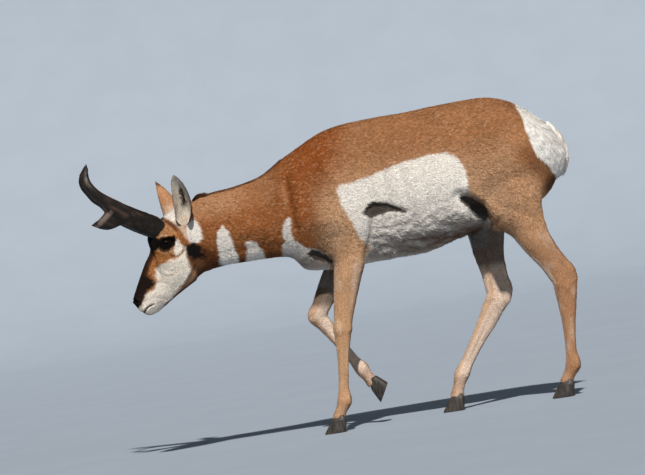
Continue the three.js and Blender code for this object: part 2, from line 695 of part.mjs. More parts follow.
for (const [name, side] of [["left", -1], ["right", 1]]) {
  const hornPiece = hornSolid(side).subtract(fleshUnderEars);
  addNode(`eye_${name}`, eyeSolid(side), wetEye);
  addNode(`horn_${name}`, hornPiece, horn);
  addNode(`ear_${name}`, earSolid(name).subtract(fleshUnderEars).subtract(hornSolid(side, gap)), earSkin);
}

for (const [name, leg] of Object.entries(legs)) {
  const hind = name.startsWith("hind");
  const below = whole.intersect(sideOfCut(hind ? hindCut : foreCut, -1, gap / 2));
  const acrossHalf = sideHalf(leg.side);
  const limb = below.intersect(acrossHalf).intersect(sideOfCut(waistCut, hind ? -1 : 1, 0));
  const upper = limb.intersect(sideOfCut(jointCut(leg), 1, gap / 2));
  addNode(`${name}_${hind ? "gaskin" : "forearm"}`, upper, coat);
  addNode(`${name}_cannon`, limb.intersect(sideOfCut(jointCut(leg), -1, gap / 2)), coat);
  addNode(`${name}_hoof_outer`, toeSolid(leg, false), nail);
  addNode(`${name}_hoof_inner`, toeSolid(leg, true), nail);
}

// The origin is on the floor under the middle of the animal's length and width
const bounds = new THREE.Box3().setFromObject(pronghorn, true);
pronghorn.position.set(-(bounds.min.x + bounds.max.x) / 2, -(bounds.min.y + bounds.max.y) / 2, 0);

export default pronghorn;
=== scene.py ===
import math
import time

import bpy
import numpy as np
from mathutils import Matrix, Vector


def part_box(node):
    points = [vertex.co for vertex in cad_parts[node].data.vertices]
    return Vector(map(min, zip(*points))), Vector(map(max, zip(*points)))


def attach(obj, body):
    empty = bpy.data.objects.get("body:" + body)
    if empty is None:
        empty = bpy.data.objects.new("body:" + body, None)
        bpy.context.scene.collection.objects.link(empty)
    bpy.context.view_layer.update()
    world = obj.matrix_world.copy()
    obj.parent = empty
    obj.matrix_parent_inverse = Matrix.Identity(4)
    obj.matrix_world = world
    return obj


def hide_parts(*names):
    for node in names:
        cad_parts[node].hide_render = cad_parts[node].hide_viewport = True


# A pronghorn buck: one skin over the solids of flesh, a coat of solid tufts over the skin,
# horns, ears, eyes and hooves drawn finer than the solids. Sizes are in millimetres in the
# part's own working frame (nose towards -X, left side towards -Y) until a mesh is written.
started = time.time()
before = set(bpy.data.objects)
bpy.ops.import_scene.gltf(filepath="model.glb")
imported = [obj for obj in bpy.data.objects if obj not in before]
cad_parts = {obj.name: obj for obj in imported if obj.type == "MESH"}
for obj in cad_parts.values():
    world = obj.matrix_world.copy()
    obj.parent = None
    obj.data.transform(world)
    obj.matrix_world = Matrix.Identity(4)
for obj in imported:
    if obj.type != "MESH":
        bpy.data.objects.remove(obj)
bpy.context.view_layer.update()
nodeNames = set(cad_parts)
leftToeX = -59.0
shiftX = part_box("foreleg_left_hoof_outer")[0].x * 1000 - leftToeX
shiftY = (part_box("torso")[0].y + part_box("torso")[1].y) * 500


def say(words):
    print("%5.1f s  %s" % (time.time() - started, words), flush=True)


# Loft tables as in the solids: top [x, z], bottom [x, z], half width, height of the widest
# place, roundness of the back and of the belly
trunk = [
    (-66, 790, -80, 520, 34, 0.5, 2.0, 2.0),
    (-30, 818, -62, 498, 66, 0.5, 2.0, 1.9),
    (8, 844, -44, 478, 86, 0.5, 2.0, 1.9),
    (60, 868, 0, 468, 100, 0.5, 1.9, 1.8),
    (122, 881, 84, 463, 111, 0.52, 1.9, 1.8),
    (205, 886, 190, 469, 129, 0.54, 1.9, 2.0),
    (300, 887, 300, 473, 147, 0.55, 1.9, 2.2),
    (395, 892, 400, 493, 150, 0.54, 1.9, 2.2),
    (478, 895, 482, 518, 142, 0.5, 1.9, 2.2),
    (552, 893, 556, 545, 134, 0.48, 2.0, 2.2),
    (617, 871, 624, 560, 126, 0.46, 2.1, 2.2),
    (678, 829, 672, 570, 110, 0.44, 2.1, 2.2),
    (718, 793, 706, 600, 88, 0.44, 2.1, 2.2),
    (742, 757, 730, 632, 58, 0.46, 2.0, 2.0),
]
neckFlesh = [
    (-352, 724, -352, 503, 46, 0.5, 2.0, 2.0),
    (-318, 738, -322, 514, 55, 0.5, 2.0, 2.0),
    (-270, 745, -274, 521, 59, 0.52, 1.9, 2.1),
    (-205, 752, -212, 522, 62, 0.54, 1.9, 2.1),
    (-128, 770, -150, 522, 71, 0.56, 1.9, 2.1),
    (-56, 812, -92, 520, 83, 0.55, 1.9, 2.1),
    (4, 841, -52, 512, 92, 0.54, 1.9, 2.0),
    (44, 850, 10, 530, 88, 0.5, 1.9, 2.0),
]
skull = [
    (-312, 724, -318, 525, 44, 0.45, 2.0, 2.0),
    (-346, 727, -338, 507, 53, 0.42, 2.1, 2.1),
    (-386, 715, -362, 493, 58, 0.42, 2.2, 2.3),
    (-426, 694, -388, 479, 60, 0.42, 2.3, 2.5),
    (-460, 668, -411, 466, 58, 0.42, 2.4, 2.6),
    (-480, 638, -431, 454, 50, 0.45, 2.3, 2.6),
    (-478, 603, -448, 443, 42, 0.48, 2.2, 2.6),
    (-500, 566, -465, 432, 37, 0.5, 2.2, 2.5),
    (-519, 531, -480, 423, 32.5, 0.5, 2.2, 2.4),
    (-535, 500, -494, 418, 29.5, 0.5, 2.3, 2.4),
    (-546, 477, -508, 417, 28, 0.5, 2.4, 2.4),
    (-550, 461, -523, 424, 24, 0.48, 2.2, 2.3),
]
# Relief: centre x and z, spread along x and z, height
trunkRelief = [
    (72, 735, 58, 100, 8), (2, 605, 46, 62, 13), (88, 590, 62, 62, 11),
    (168, 640, 36, 120, -8), (600, 690, 90, 110, 12), (455, 740, 52, 70, -9),
]
headRelief = [
    (-423, 623, 27, 26, 11), (-446, 652, 22, 24, 5), (-404, 560, 34, 40, 4),
    (-476, 585, 20, 24, -4), (-538, 462, 11, 11, 3),
]
headTurn = math.radians(6)
napeX = -345.0
eye = {"x": -430.0, "y": 48.0, "z": 614.0, "radius": 23.0}

# Girths down the leg bones: bone, share of it, in front, behind, half width
foreGirth = [
    (0, 0.0, 58, 52, 30), (0, 0.6, 60, 52, 42), (1, 0.0, 53, 45, 44), (1, 0.2, 46, 38, 38),
    (1, 0.42, 41, 33, 31), (1, 0.66, 36, 28, 25), (1, 0.86, 31, 25, 22), (2, 0.0, 29, 25, 23.5),
    (2, 0.12, 25, 23, 20), (2, 0.32, 20, 18, 16), (2, 0.56, 16.5, 16.5, 14.5),
    (2, 0.82, 16.5, 17, 15), (3, 0.0, 20, 24, 20), (3, 0.5, 17, 18, 18), (3, 1.0, 21, 22, 22),
]
hindGirth = [
    (0, 0.0, 84, 74, 34), (0, 0.45, 104, 92, 53), (1, 0.0, 99, 97, 56), (1, 0.16, 76, 80, 49),
    (1, 0.32, 56, 62, 40), (1, 0.55, 47, 42, 29), (1, 0.78, 37, 40, 22), (1, 0.91, 36, 43, 20),
    (2, 0.0, 35, 39, 22.5), (2, 0.16, 30, 35, 20), (2, 0.34, 23, 29, 17), (2, 0.58, 18, 21, 15),
    (2, 0.84, 16.5, 18, 15.5), (3, 0.0, 21, 25, 21), (3, 0.5, 18, 18, 18), (3, 1.0, 22, 23, 22.5),
]
# The far hind leg turns its wider side towards the viewer below the hock
farHindGirth = [(b, t, front + 2 * (b == 2 and t > 0.2), rear + 3 * (b == 2 and t > 0.2), half)
                for b, t, front, rear, half in hindGirth]
legs = {
    "foreleg_left": {
        "side": -1, "girth": foreGirth, "across": (58, 62, 66, 69, 70), "hoofTilt": 0,
        "joints": ((112, 592), (94, 488), (40, 290), (10, 87), (-13, 38))},
    "foreleg_right": {
        "side": 1, "girth": foreGirth, "across": (58, 62, 66, 69, 70), "hoofTilt": 62,
        "joints": ((112, 604), (86, 510), (-26, 338), (77, 161), (104, 118))},
    "hindleg_left": {
        "side": -1, "girth": hindGirth, "across": (64, 78, 78, 77, 77), "hoofTilt": 0,
        "joints": ((622, 735), (574, 575), (690, 337), (676, 88), (650, 38))},
    "hindleg_right": {
        "side": 1, "girth": farHindGirth, "across": (64, 78, 80, 82, 83), "hoofTilt": 0,
        "joints": ((600, 735), (492, 582), (505, 317), (361, 103), (338, 38))},
}


# Numbers
def smoothRows(rows, count, place):
    # Hermite curve through the rows, its slopes from the neighbours on either side
    rows = np.array(rows, float)
    at = place(rows)
    knots = np.r_[0, np.cumsum(np.linalg.norm(np.diff(at, axis=0), axis=1))]
    slope = np.empty_like(rows)
    slope[1:-1] = (rows[2:] - rows[:-2]) / (knots[2:] - knots[:-2])[:, None]
    slope[0] = (rows[1] - rows[0]) / (knots[1] - knots[0])
    slope[-1] = (rows[-1] - rows[-2]) / (knots[-1] - knots[-2])
    where = np.linspace(0, knots[-1], count)
    i = np.clip(np.searchsorted(knots, where, side="right") - 1, 0, len(rows) - 2)
    span = (knots[i + 1] - knots[i])[:, None]
    t = (where - knots[i])[:, None] / span
    rise = rows[i + 1] - rows[i]
    a = slope[i] * span - rise
    b = rise - slope[i + 1] * span
    return rows[i] + rise * t + t * (1 - t) * (a * (1 - t) + b * t)


def middleOf(rows):
    return np.stack([(rows[:, 0] + rows[:, 2]) / 2, (rows[:, 1] + rows[:, 3]) / 2], 1)


def section(rows, sides, relief=()):
    # Superellipse between top and bottom: rise = |cos|^p, out = |sin|^p
    turn = 2 * np.pi * (np.arange(sides) + 0.5) / sides
    topX, topZ, lowX, lowZ, half, widest, back, belly = [c[:, None] for c in rows.T]
    depth = np.hypot(lowX - topX, lowZ - topZ)
    up, out = np.cos(turn)[None], np.sin(turn)[None]
    power = np.where(up > 0, 2 / back, 2 / belly)
    reach = np.where(up > 0, depth * widest, depth * (1 - widest))
    along = depth * widest - np.sign(up) * np.abs(up) ** power * reach
    x = topX + (lowX - topX) / depth * along
    z = topZ + (lowZ - topZ) / depth * along
    y = np.sign(out) * np.abs(out) ** power * half
    for cx, cz, sx, sz, height in relief:
        y = y + np.sign(out) * height * np.exp(-((x - cx) / sx) ** 2 - ((z - cz) / sz) ** 2) * np.abs(out)
    return np.stack([x, y, z], -1)


def unit(v):
    return v / np.maximum(np.linalg.norm(v, axis=-1, keepdims=True), 1e-9)


def smoothstep(low, high, v):
    t = np.clip((v - low) / (high - low), 0, 1)
    return t * t * (3 - 2 * t)


hashSteps = np.array([374761393, 668265263, 2147483647])


def noise(p, scale, seed=0):
    # Value noise from -1 to 1 on a lattice of the given size
    q = np.asarray(p, float) / scale + seed * 17.31
    i = np.floor(q).astype(np.int64)
    f = q - i
    f = f * f * (3 - 2 * f)
    total = 0
    for corner in range(8):
        o = np.array([corner & 1, (corner >> 1) & 1, (corner >> 2) & 1])
        h = (((i + o) * hashSteps).sum(-1) + seed * 974711) & 0x7FFFFFFF
        h = (h ^ (h >> 13)) * 1274126177 & 0x7FFFFFFF
        value = (h % 65536) / 32768 - 1
        total = total + value * np.prod(np.where(o, f, 1 - f), axis=-1)
    return total


def lineDistance(x, z, line):
    # Distance to a broken line in the side view
    best = np.full(x.shape, 1e9)
    for (ax, az), (bx, bz) in zip(line[:-1], line[1:]):
        dx, dz = bx - ax, bz - az
        t = np.clip(((x - ax) * dx + (z - az) * dz) / (dx * dx + dz * dz), 0, 1)
        best = np.minimum(best, np.hypot(x - ax - t * dx, z - az - t * dz))
    return best


def insideDistance(x, z, outline):
    # Distance to a closed outline in the side view, above zero inside it
    closed = [*outline, outline[0]]
    odd = np.zeros(x.shape, bool)
    for (ax, az), (bx, bz) in zip(closed[:-1], closed[1:]):
        odd ^= ((az > z) != (bz > z)) & (x < (bx - ax) * (z - az) / ((bz - az) or 1) + ax)
    best = lineDistance(x, z, closed)
    return np.where(odd, best, -best)


def turnHead(p, back=False):
    # The head turns about the nape, its nose towards -Y
    a = -headTurn if back else headTurn
    c, s = math.cos(a), math.sin(a)
    x, y, z = p[..., 0] - napeX, p[..., 1], p[..., 2]
    return np.stack([napeX + x * c - y * s, x * s + y * c, z], -1)


# Meshes
def closedGrid(grid):
    # Rings joined into a closed surface with a fan over each end
    n, m = grid.shape[:2]
    verts = np.concatenate([grid.reshape(-1, 3), grid[0].mean(0)[None], grid[-1].mean(0)[None]])
    i, j = np.meshgrid(np.arange(n - 1), np.arange(m), indexing="ij")
    a = (i * m + j).ravel()
    b = (i * m + (j + 1) % m).ravel()
    quads = np.stack([a, b, b + m, a + m], 1)
    k = np.arange(m)
    first = np.stack([np.full(m, n * m), (k + 1) % m, k], 1)
    last = np.stack([np.full(m, n * m + 1), (n - 1) * m + k, (n - 1) * m + (k + 1) % m], 1)
    faces = np.concatenate([quads[:, [0, 1, 2]], quads[:, [0, 2, 3]], first, last])
    return facedOut(verts, faces)


def facedOut(verts, faces):
    a, b, c = verts[faces].transpose(1, 0, 2)
    volume = np.einsum("ij,ij->i", a, np.cross(b, c)).sum()
    return (verts, faces) if volume > 0 else (verts, faces[:, ::-1])


def joinShells(shells):
    verts, faces, base = [], [], 0
    for v, f in shells:
        verts.append(v)
        faces.append(f + base)
        base += len(v)
    return np.concatenate(verts), np.concatenate(faces)


def writeMesh(name, verts, faces, colours=None, uv=None):
    # Triangles from whole arrays, millimetres to the part's metres
    mesh = bpy.data.meshes.new(name)
    placed = (verts + np.array([shiftX, shiftY, 0])) / 1000
    mesh.vertices.add(len(verts))
    mesh.vertices.foreach_set("co", placed.astype(np.float32).ravel())
    mesh.loops.add(faces.size)
    mesh.loops.foreach_set("vertex_index", faces.astype(np.int32).ravel())
    mesh.polygons.add(len(faces))
    mesh.polygons.foreach_set("loop_start", np.arange(0, faces.size, 3, dtype=np.int32))
    mesh.polygons.foreach_set("use_smooth", np.ones(len(faces), bool))
    mesh.update(calc_edges=True)
    if colours is not None:
        layer = mesh.attributes.new("coatColour", "FLOAT_COLOR", "POINT")
        rgba = np.concatenate([colours, np.ones((len(colours), 1))], 1)
        layer.data.foreach_set("color", rgba.astype(np.float32).ravel())
    if uv is not None:
        layer = mesh.uv_layers.new(name="OFBake")
        layer.data.foreach_set("uv", uv[faces.ravel()].astype(np.float32).ravel())
    mesh.validate()
    piece = bpy.data.objects.new(name, mesh)
    bpy.context.scene.collection.objects.link(piece)
    return piece


def remeshed(verts, faces, voxel):
    # Union of closed shells on a voxel grid, read back as triangles
    piece = writeMesh("voxels", verts, faces)
    mesh = piece.data
    change = piece.modifiers.new("union", "REMESH")
    change.mode = "VOXEL"
    change.voxel_size = voxel / 1000
    made = piece.evaluated_get(bpy.context.evaluated_depsgraph_get()).to_mesh()
    made.calc_loop_triangles()
    verts = np.empty(len(made.vertices) * 3, np.float32)
    made.vertices.foreach_get("co", verts)
    faces = np.empty(len(made.loop_triangles) * 3, np.int32)
    made.loop_triangles.foreach_get("vertices", faces)
    bpy.data.objects.remove(piece)
    bpy.data.meshes.remove(mesh)
    verts = verts.reshape(-1, 3).astype(float) * 1000 - np.array([shiftX, shiftY, 0])
    return verts, faces.reshape(-1, 3)


def pointNormals(verts, faces):
    a, b, c = verts[faces].transpose(1, 0, 2)
    n = np.cross(b - a, c - a)
    total = np.stack([np.bincount(faces.ravel(), np.repeat(n[:, k], 3), len(verts)) for k in range(3)], 1)
    return unit(total)


def relaxed(verts, faces, rounds, strength, keep=0.0):
    # Each vertex moves towards its neighbours' mean by its own strength; keep gives back what limbs lose
    pairs = np.concatenate([faces[:, [0, 1]], faces[:, [1, 2]], faces[:, [2, 0]]])
    a, b = np.unique(np.sort(pairs, 1), axis=0).T
    count = np.maximum(np.bincount(np.r_[a, b], minlength=len(verts))[:, None], 1)
    for _ in range(rounds):
        for step in (strength, -strength * keep):
            if np.any(step):
                mean = np.stack([
                    np.bincount(a, verts[b, k], len(verts)) + np.bincount(b, verts[a, k], len(verts))
                    for k in range(3)], 1) / count
                verts = verts + (mean - verts) * step[:, None]
    return verts


# Shaders: Value wraps one socket with arithmetic, Paint makes a material node by node
class Value:
    def __init__(self, tree, socket):
        self.tree, self.socket = tree, socket

    def math(self, kind, other):
        node = self.tree.nodes.new("ShaderNodeMath")
        node.operation = kind
        for slot, value in enumerate((self, other)):
            if isinstance(value, Value):
                self.tree.links.new(value.socket, node.inputs[slot])
            else:
                node.inputs[slot].default_value = value
        return Value(self.tree, node.outputs[0])

    def __add__(self, other):
        return self.math("ADD", other)

    __radd__ = __add__

    def __mul__(self, other):
        return self.math("MULTIPLY", other)

    __rmul__ = __mul__


class Paint:
    def __init__(self, name, roughness, specular):
        self.material = bpy.data.materials.new(name)
        self.material.use_nodes = True
        self.tree = self.material.node_tree
        self.shader = self.tree.nodes["Principled BSDF"]
        self.put("Roughness", roughness)
        self.put("Specular IOR Level", specular)

    def put(self, label, value):
        if isinstance(value, Value):
            self.tree.links.new(value.socket, self.shader.inputs[label])
        else:
            self.shader.inputs[label].default_value = value

    def node(self, kind, settings=None, inputs=None, output=0):
        made = self.tree.nodes.new("ShaderNode" + kind)
        for key, value in (settings or {}).items():
            setattr(made, key, value)
        for key, value in (inputs or {}).items():
            if isinstance(value, Value):
                self.tree.links.new(value.socket, made.inputs[key])
            else:
                made.inputs[key].default_value = value
        return Value(self.tree, made.outputs[output])

    def noise(self, scale, detail, stretch=None):
        vector = self.node("TexCoord", output="Object")
        if stretch:
            vector = self.node("Mapping", inputs={"Vector": vector, "Scale": stretch})
        inputs = {"Vector": vector, "Scale": scale, "Detail": detail}
        return self.node("TexNoise", inputs=inputs, output="Fac")

    def attribute(self, name):
        return self.node("Attribute", {"attribute_name": name}, output="Color")

    def mix(self, factor, a, b, blend="MIX"):
        made = self.tree.nodes.new("ShaderNodeMix")
        made.data_type, made.blend_type, made.clamp_result = "RGBA", blend, False
        for slot, value in ((0, factor), (6, a), (7, b)):
            if isinstance(value, Value):
                self.tree.links.new(value.socket, made.inputs[slot])
            else:
                made.inputs[slot].default_value = value if slot == 0 else (*value, 1)
        return Value(self.tree, made.outputs[2])

    def ramp(self, factor, low, high):
        # 0 below low, 1 above high, smooth between
        settings = {"interpolation_type": "SMOOTHSTEP"}
        return self.node("MapRange", settings, {"Value": factor, "From Min": low, "From Max": high})

    def bump(self, height, distance, strength):
        inputs = {"Height": height, "Distance": distance, "Strength": strength}
        self.put("Normal", self.node("Bump", inputs=inputs))

    def on(self, *pieces):
        for piece in pieces:
            piece.data.materials.append(self.material)


# Body shell: trunk, neck, skull, legs and tail core in one closed skin
def legGrid(leg, sides, count):
    rows = []
    for bone, share, front, rear, half in leg["girth"]:
        start, end = np.array(leg["joints"][bone:bone + 2], float)
        x, z = start + (end - start) * share
        y0, y1 = leg["across"][bone:bone + 2]
        rows.append((x, z, front, rear, half, y0 + (y1 - y0) * share))
    rows = smoothRows(rows, count, lambda r: r[:, :2])
    way = unit(np.gradient(rows[:, :2], axis=0))
    turn = 2 * np.pi * np.arange(sides) / sides
    x, z, front, rear, half, y = [c[:, None] for c in rows.T]
    ahead = np.cos(turn)[None] * np.where(np.cos(turn)[None] > 0, front, rear)
    out = np.sin(turn)[None] * half
    return np.stack([x + way[:, 1:] * ahead, leg["side"] * (y + out), z - way[:, :1] * ahead], -1)


tailLine = {"root": (718, 792), "tip": (738, 650), "halfWidth": 15, "halfDepth": 8, "bow": 27}


def tailGrid(count, sides):
    t = np.linspace(0, 1, count)[:, None]
    turn = 2 * np.pi * np.arange(sides)[None] / sides
    swell = np.sin(np.pi * (0.2 + 0.72 * t)) ** 0.8
    (x0, z0), (x1, z1) = tailLine["root"], tailLine["tip"]
    middle = x0 + (x1 - x0) * t + tailLine["bow"] * np.sin(np.pi * t)
    x = middle + np.cos(turn) * tailLine["halfDepth"] * swell
    z = z0 + (z1 - z0) * t + 0 * turn
    return np.stack([x, np.sin(turn) * tailLine["halfWidth"] * swell, z], -1)


voxel = 5.6
# How far the skin of the face lies under the solid's
headInset = 2.0
# The hair of the rump rounds off the trunk's flat end
rumpEnd = [(757, 741, 745, 636, 42, 0.46, 2.0, 2.0), (766, 716, 757, 652, 21, 0.46, 2.0, 2.0)]
trunkShell = closedGrid(section(smoothRows(trunk + rumpEnd, 170, middleOf), 160, trunkRelief))
neckShell = closedGrid(section(smoothRows(neckFlesh, 110, middleOf), 120))
skullRows = smoothRows(skull, 110, middleOf)
skullShell = closedGrid(turnHead(section(skullRows, 120, headRelief)))
legShells = [closedGrid(legGrid(leg, 56, 190)) for leg in legs.values()]
shells = [trunkShell, neckShell, skullShell, closedGrid(tailGrid(40, 30))] + legShells
bodyVerts, bodyFaces = remeshed(*joinShells(shells), voxel * (1))
say("body shell of %d triangles" % len(bodyFaces))

# Muscle, bone and hollow drawn on the skin: centre x and z, spread along x and z, height, tilt
anatomy = [
    (60, 760, 16, 95, 4, 14), (115, 790, 26, 60, 3, 14), (25, 640, 40, 60, 4, 0),
    (120, 560, 34, 34, 5, 0), (560, 800, 60, 34, 4, 10), (640, 700, 46, 60, 5, 0),
    (560, 640, 40, 70, 4, -20), (690, 560, 20, 50, -4, 30), (-90, 690, 40, 90, 3, 12),
    (-160, 620, 90, 26, 2.5, 0), (-200, 560, 90, 14, -2.5, 0), (300, 640, 130, 70, 5, 0),
    (215, 700, 26, 70, -3, 0), (330, 500, 120, 18, -6, -6), (420, 560, 40, 26, 7, -20),
    (600, 610, 50, 30, 4, -30),
]
# Folds and raised edges along lines: x and z of both ends, width on the nose side, on the tail side, height
folds = [
    (426, 622, 470, 566, 20, 12, -9), (470, 566, 500, 528, 22, 12, -16), (448, 640, 522, 548, 6, 20, 6),
    (168, 590, 140, 490, 9, 6, -6), (-62, 740, -58, 600, 9, 9, -7), (-42, 735, -38, 620, 10, 14, 4),
    (-20, 700, 60, 690, 8, 8, 1.5), (560, 560, 640, 520, 14, 14, -3), (210, 740, 222, 560, 14, 14, -2.5),
    (262, 744, 276, 560, 13, 13, -2.0), (318, 750, 330, 570, 13, 13, -1.8),
]
# Deep hollows: behind the elbow, between the forelegs, between belly and thigh
hollows = {"elbowHollow": 9, "breastHollow": 8, "groinHollow": 9}
# Bone and sinew down the legs: 0 fore or 1 hind, joint and share of the next bone, spread of it,
# mm ahead of the bone, spread ahead, height
sinews = [
    (0, 1.25, 0.2, 12, 10, 3.0), (0, 1.55, 0.3, -12, 7, -2.4), (0, 1.98, 0.07, 16, 12, 3.2),
    (0, 1.97, 0.06, -20, 9, 3.0), (0, 2.5, 0.36, -6, 3.2, -2.2), (0, 2.5, 0.36, 5, 6, 1.4),
    (0, 2.97, 0.07, -14, 9, 3.0), (1, 1.35, 0.25, 6, 20, 4.0), (1, 1.74, 0.16, -16, 8, -6.0),
    (1, 1.95, 0.07, -38, 9, 4.0), (1, 1.98, 0.07, -4, 10, -3.0), (1, 2.06, 0.05, 18, 9, 3.0),
    (1, 2.1, 0.05, -4, 8, 2.4), (1, 2.55, 0.36, -6, 3.4, -2.6), (1, 2.55, 0.36, 6, 6, 1.6),
    (1, 2.97, 0.07, -14, 9, 3.0),
]


def legPlace(p):
    # Where a point lies on the nearest leg: joint and share of the next bone, mm ahead of the bone,
    # mm outwards, whether it is a hind leg, the bone's way
    best = np.full(len(p), 1e9)
    at, ahead, out = np.zeros((3, len(p)))
    hind = np.zeros(len(p), bool)
    way = np.zeros((len(p), 2))
    for name, leg in legs.items():
        ownSide = p[:, 1] * leg["side"] > 0
        for bone, ((x0, z0), (x1, z1)) in enumerate(zip(leg["joints"][:-1], leg["joints"][1:])):
            size = math.hypot(x1 - x0, z1 - z0)
            wx, wz = (x1 - x0) / size, (z1 - z0) / size
            t = ((p[:, 0] - x0) * wx + (p[:, 2] - z0) * wz) / size
            u = np.clip(t, 0, 1)
            far = np.hypot(p[:, 0] - x0 - u * size * wx, p[:, 2] - z0 - u * size * wz)
            near = ownSide & (far < best)
            side = (p[:, 0] - x0) * wz - (p[:, 2] - z0) * wx
            y = leg["across"][bone] + (leg["across"][bone + 1] - leg["across"][bone]) * u
            best = np.where(near, far, best)
            at = np.where(near, bone + u, at)
            ahead = np.where(near, side, ahead)
            out = np.where(near, leg["side"] * p[:, 1] - y, out)
            hind = np.where(near, name.startswith("hind"), hind)
            way = np.where(near[:, None], (wx, wz), way)
    return at, ahead, out, hind, way


def anatomyHeight(p):
    side = np.abs(p[:, 1])
    total = np.zeros(len(p))
    for cx, cz, sx, sz, height, tilt in anatomy:
        a = math.radians(tilt)
        x, z = p[:, 0] - cx, p[:, 2] - cz
        u, v = x * math.cos(a) + z * math.sin(a), z * math.cos(a) - x * math.sin(a)
        total += height * np.exp(-(u / sx) ** 2 - (v / sz) ** 2)
    for ax, az, bx, bz, ahead, behind, height in folds:
        dx, dz = bx - ax, bz - az
        size = math.hypot(dx, dz)
        t = ((p[:, 0] - ax) * dx + (p[:, 2] - az) * dz) / size ** 2
        over = np.maximum(np.abs(t - 0.5) - 0.5, 0) * size
        across = ((p[:, 0] - ax) * dz - (p[:, 2] - az) * dx) / size
        width = np.where(across * (1 if dz > 0 else -1) > 0, behind, ahead)
        total += height * np.exp(-(across / width) ** 2 - (over / 14) ** 2)
    for name, deep in hollows.items():
        total -= deep * smoothstep(-5, 11, insideDistance(p[:, 0], p[:, 2], marks[name]))
    at, ahead, _, hind, _ = legPlace(p)
    bones = np.zeros(len(p))
    for limb, share, spread, centre, width, height in sinews:
        form = np.exp(-((at - share) / spread) ** 2 - ((ahead - centre) / width) ** 2)
        bones += (hind == limb) * height * form
    onLeg = smoothstep(520, 430, p[:, 2])
    return total * smoothstep(20, 55, side) * (1 - onLeg) + bones * onLeg


def coatDepth(p):
    # How far the skin lies under the tips of the coat
    legPart = smoothstep(500, 440, p[:, 2])
    rump = smoothstep(640, 700, p[:, 0]) * smoothstep(600, 660, p[:, 2])
    depth = 4.6 * (1 - legPart) + 1.6 * legPart + 4 * rump
    face = smoothstep(-335, -375, p[:, 0])
    return depth * (1 - face) + 2.0 * face


def woolHeight(p):
    # Locks of wool on the belly, and a soft unevenness everywhere
    belly = smoothstep(640, 540, p[:, 2]) * smoothstep(130, 190, p[:, 0]) * smoothstep(520, 460, p[:, 0])
    wool = noise(p * [1, 1, 1.8], 26, 3) * 2.3 + noise(p * [1, 1, 1.5], 13, 4) * 1.5
    rump = smoothstep(0, 14, insideDistance(p[:, 0], p[:, 2], marks["rump"])) * noise(p, 18, 6) * 0.6
    body = smoothstep(440, 490, p[:, 2])
    return body * (belly * wool + rump + noise(p * [0.7, 1, 1.3], 19, 5) * 0.5)


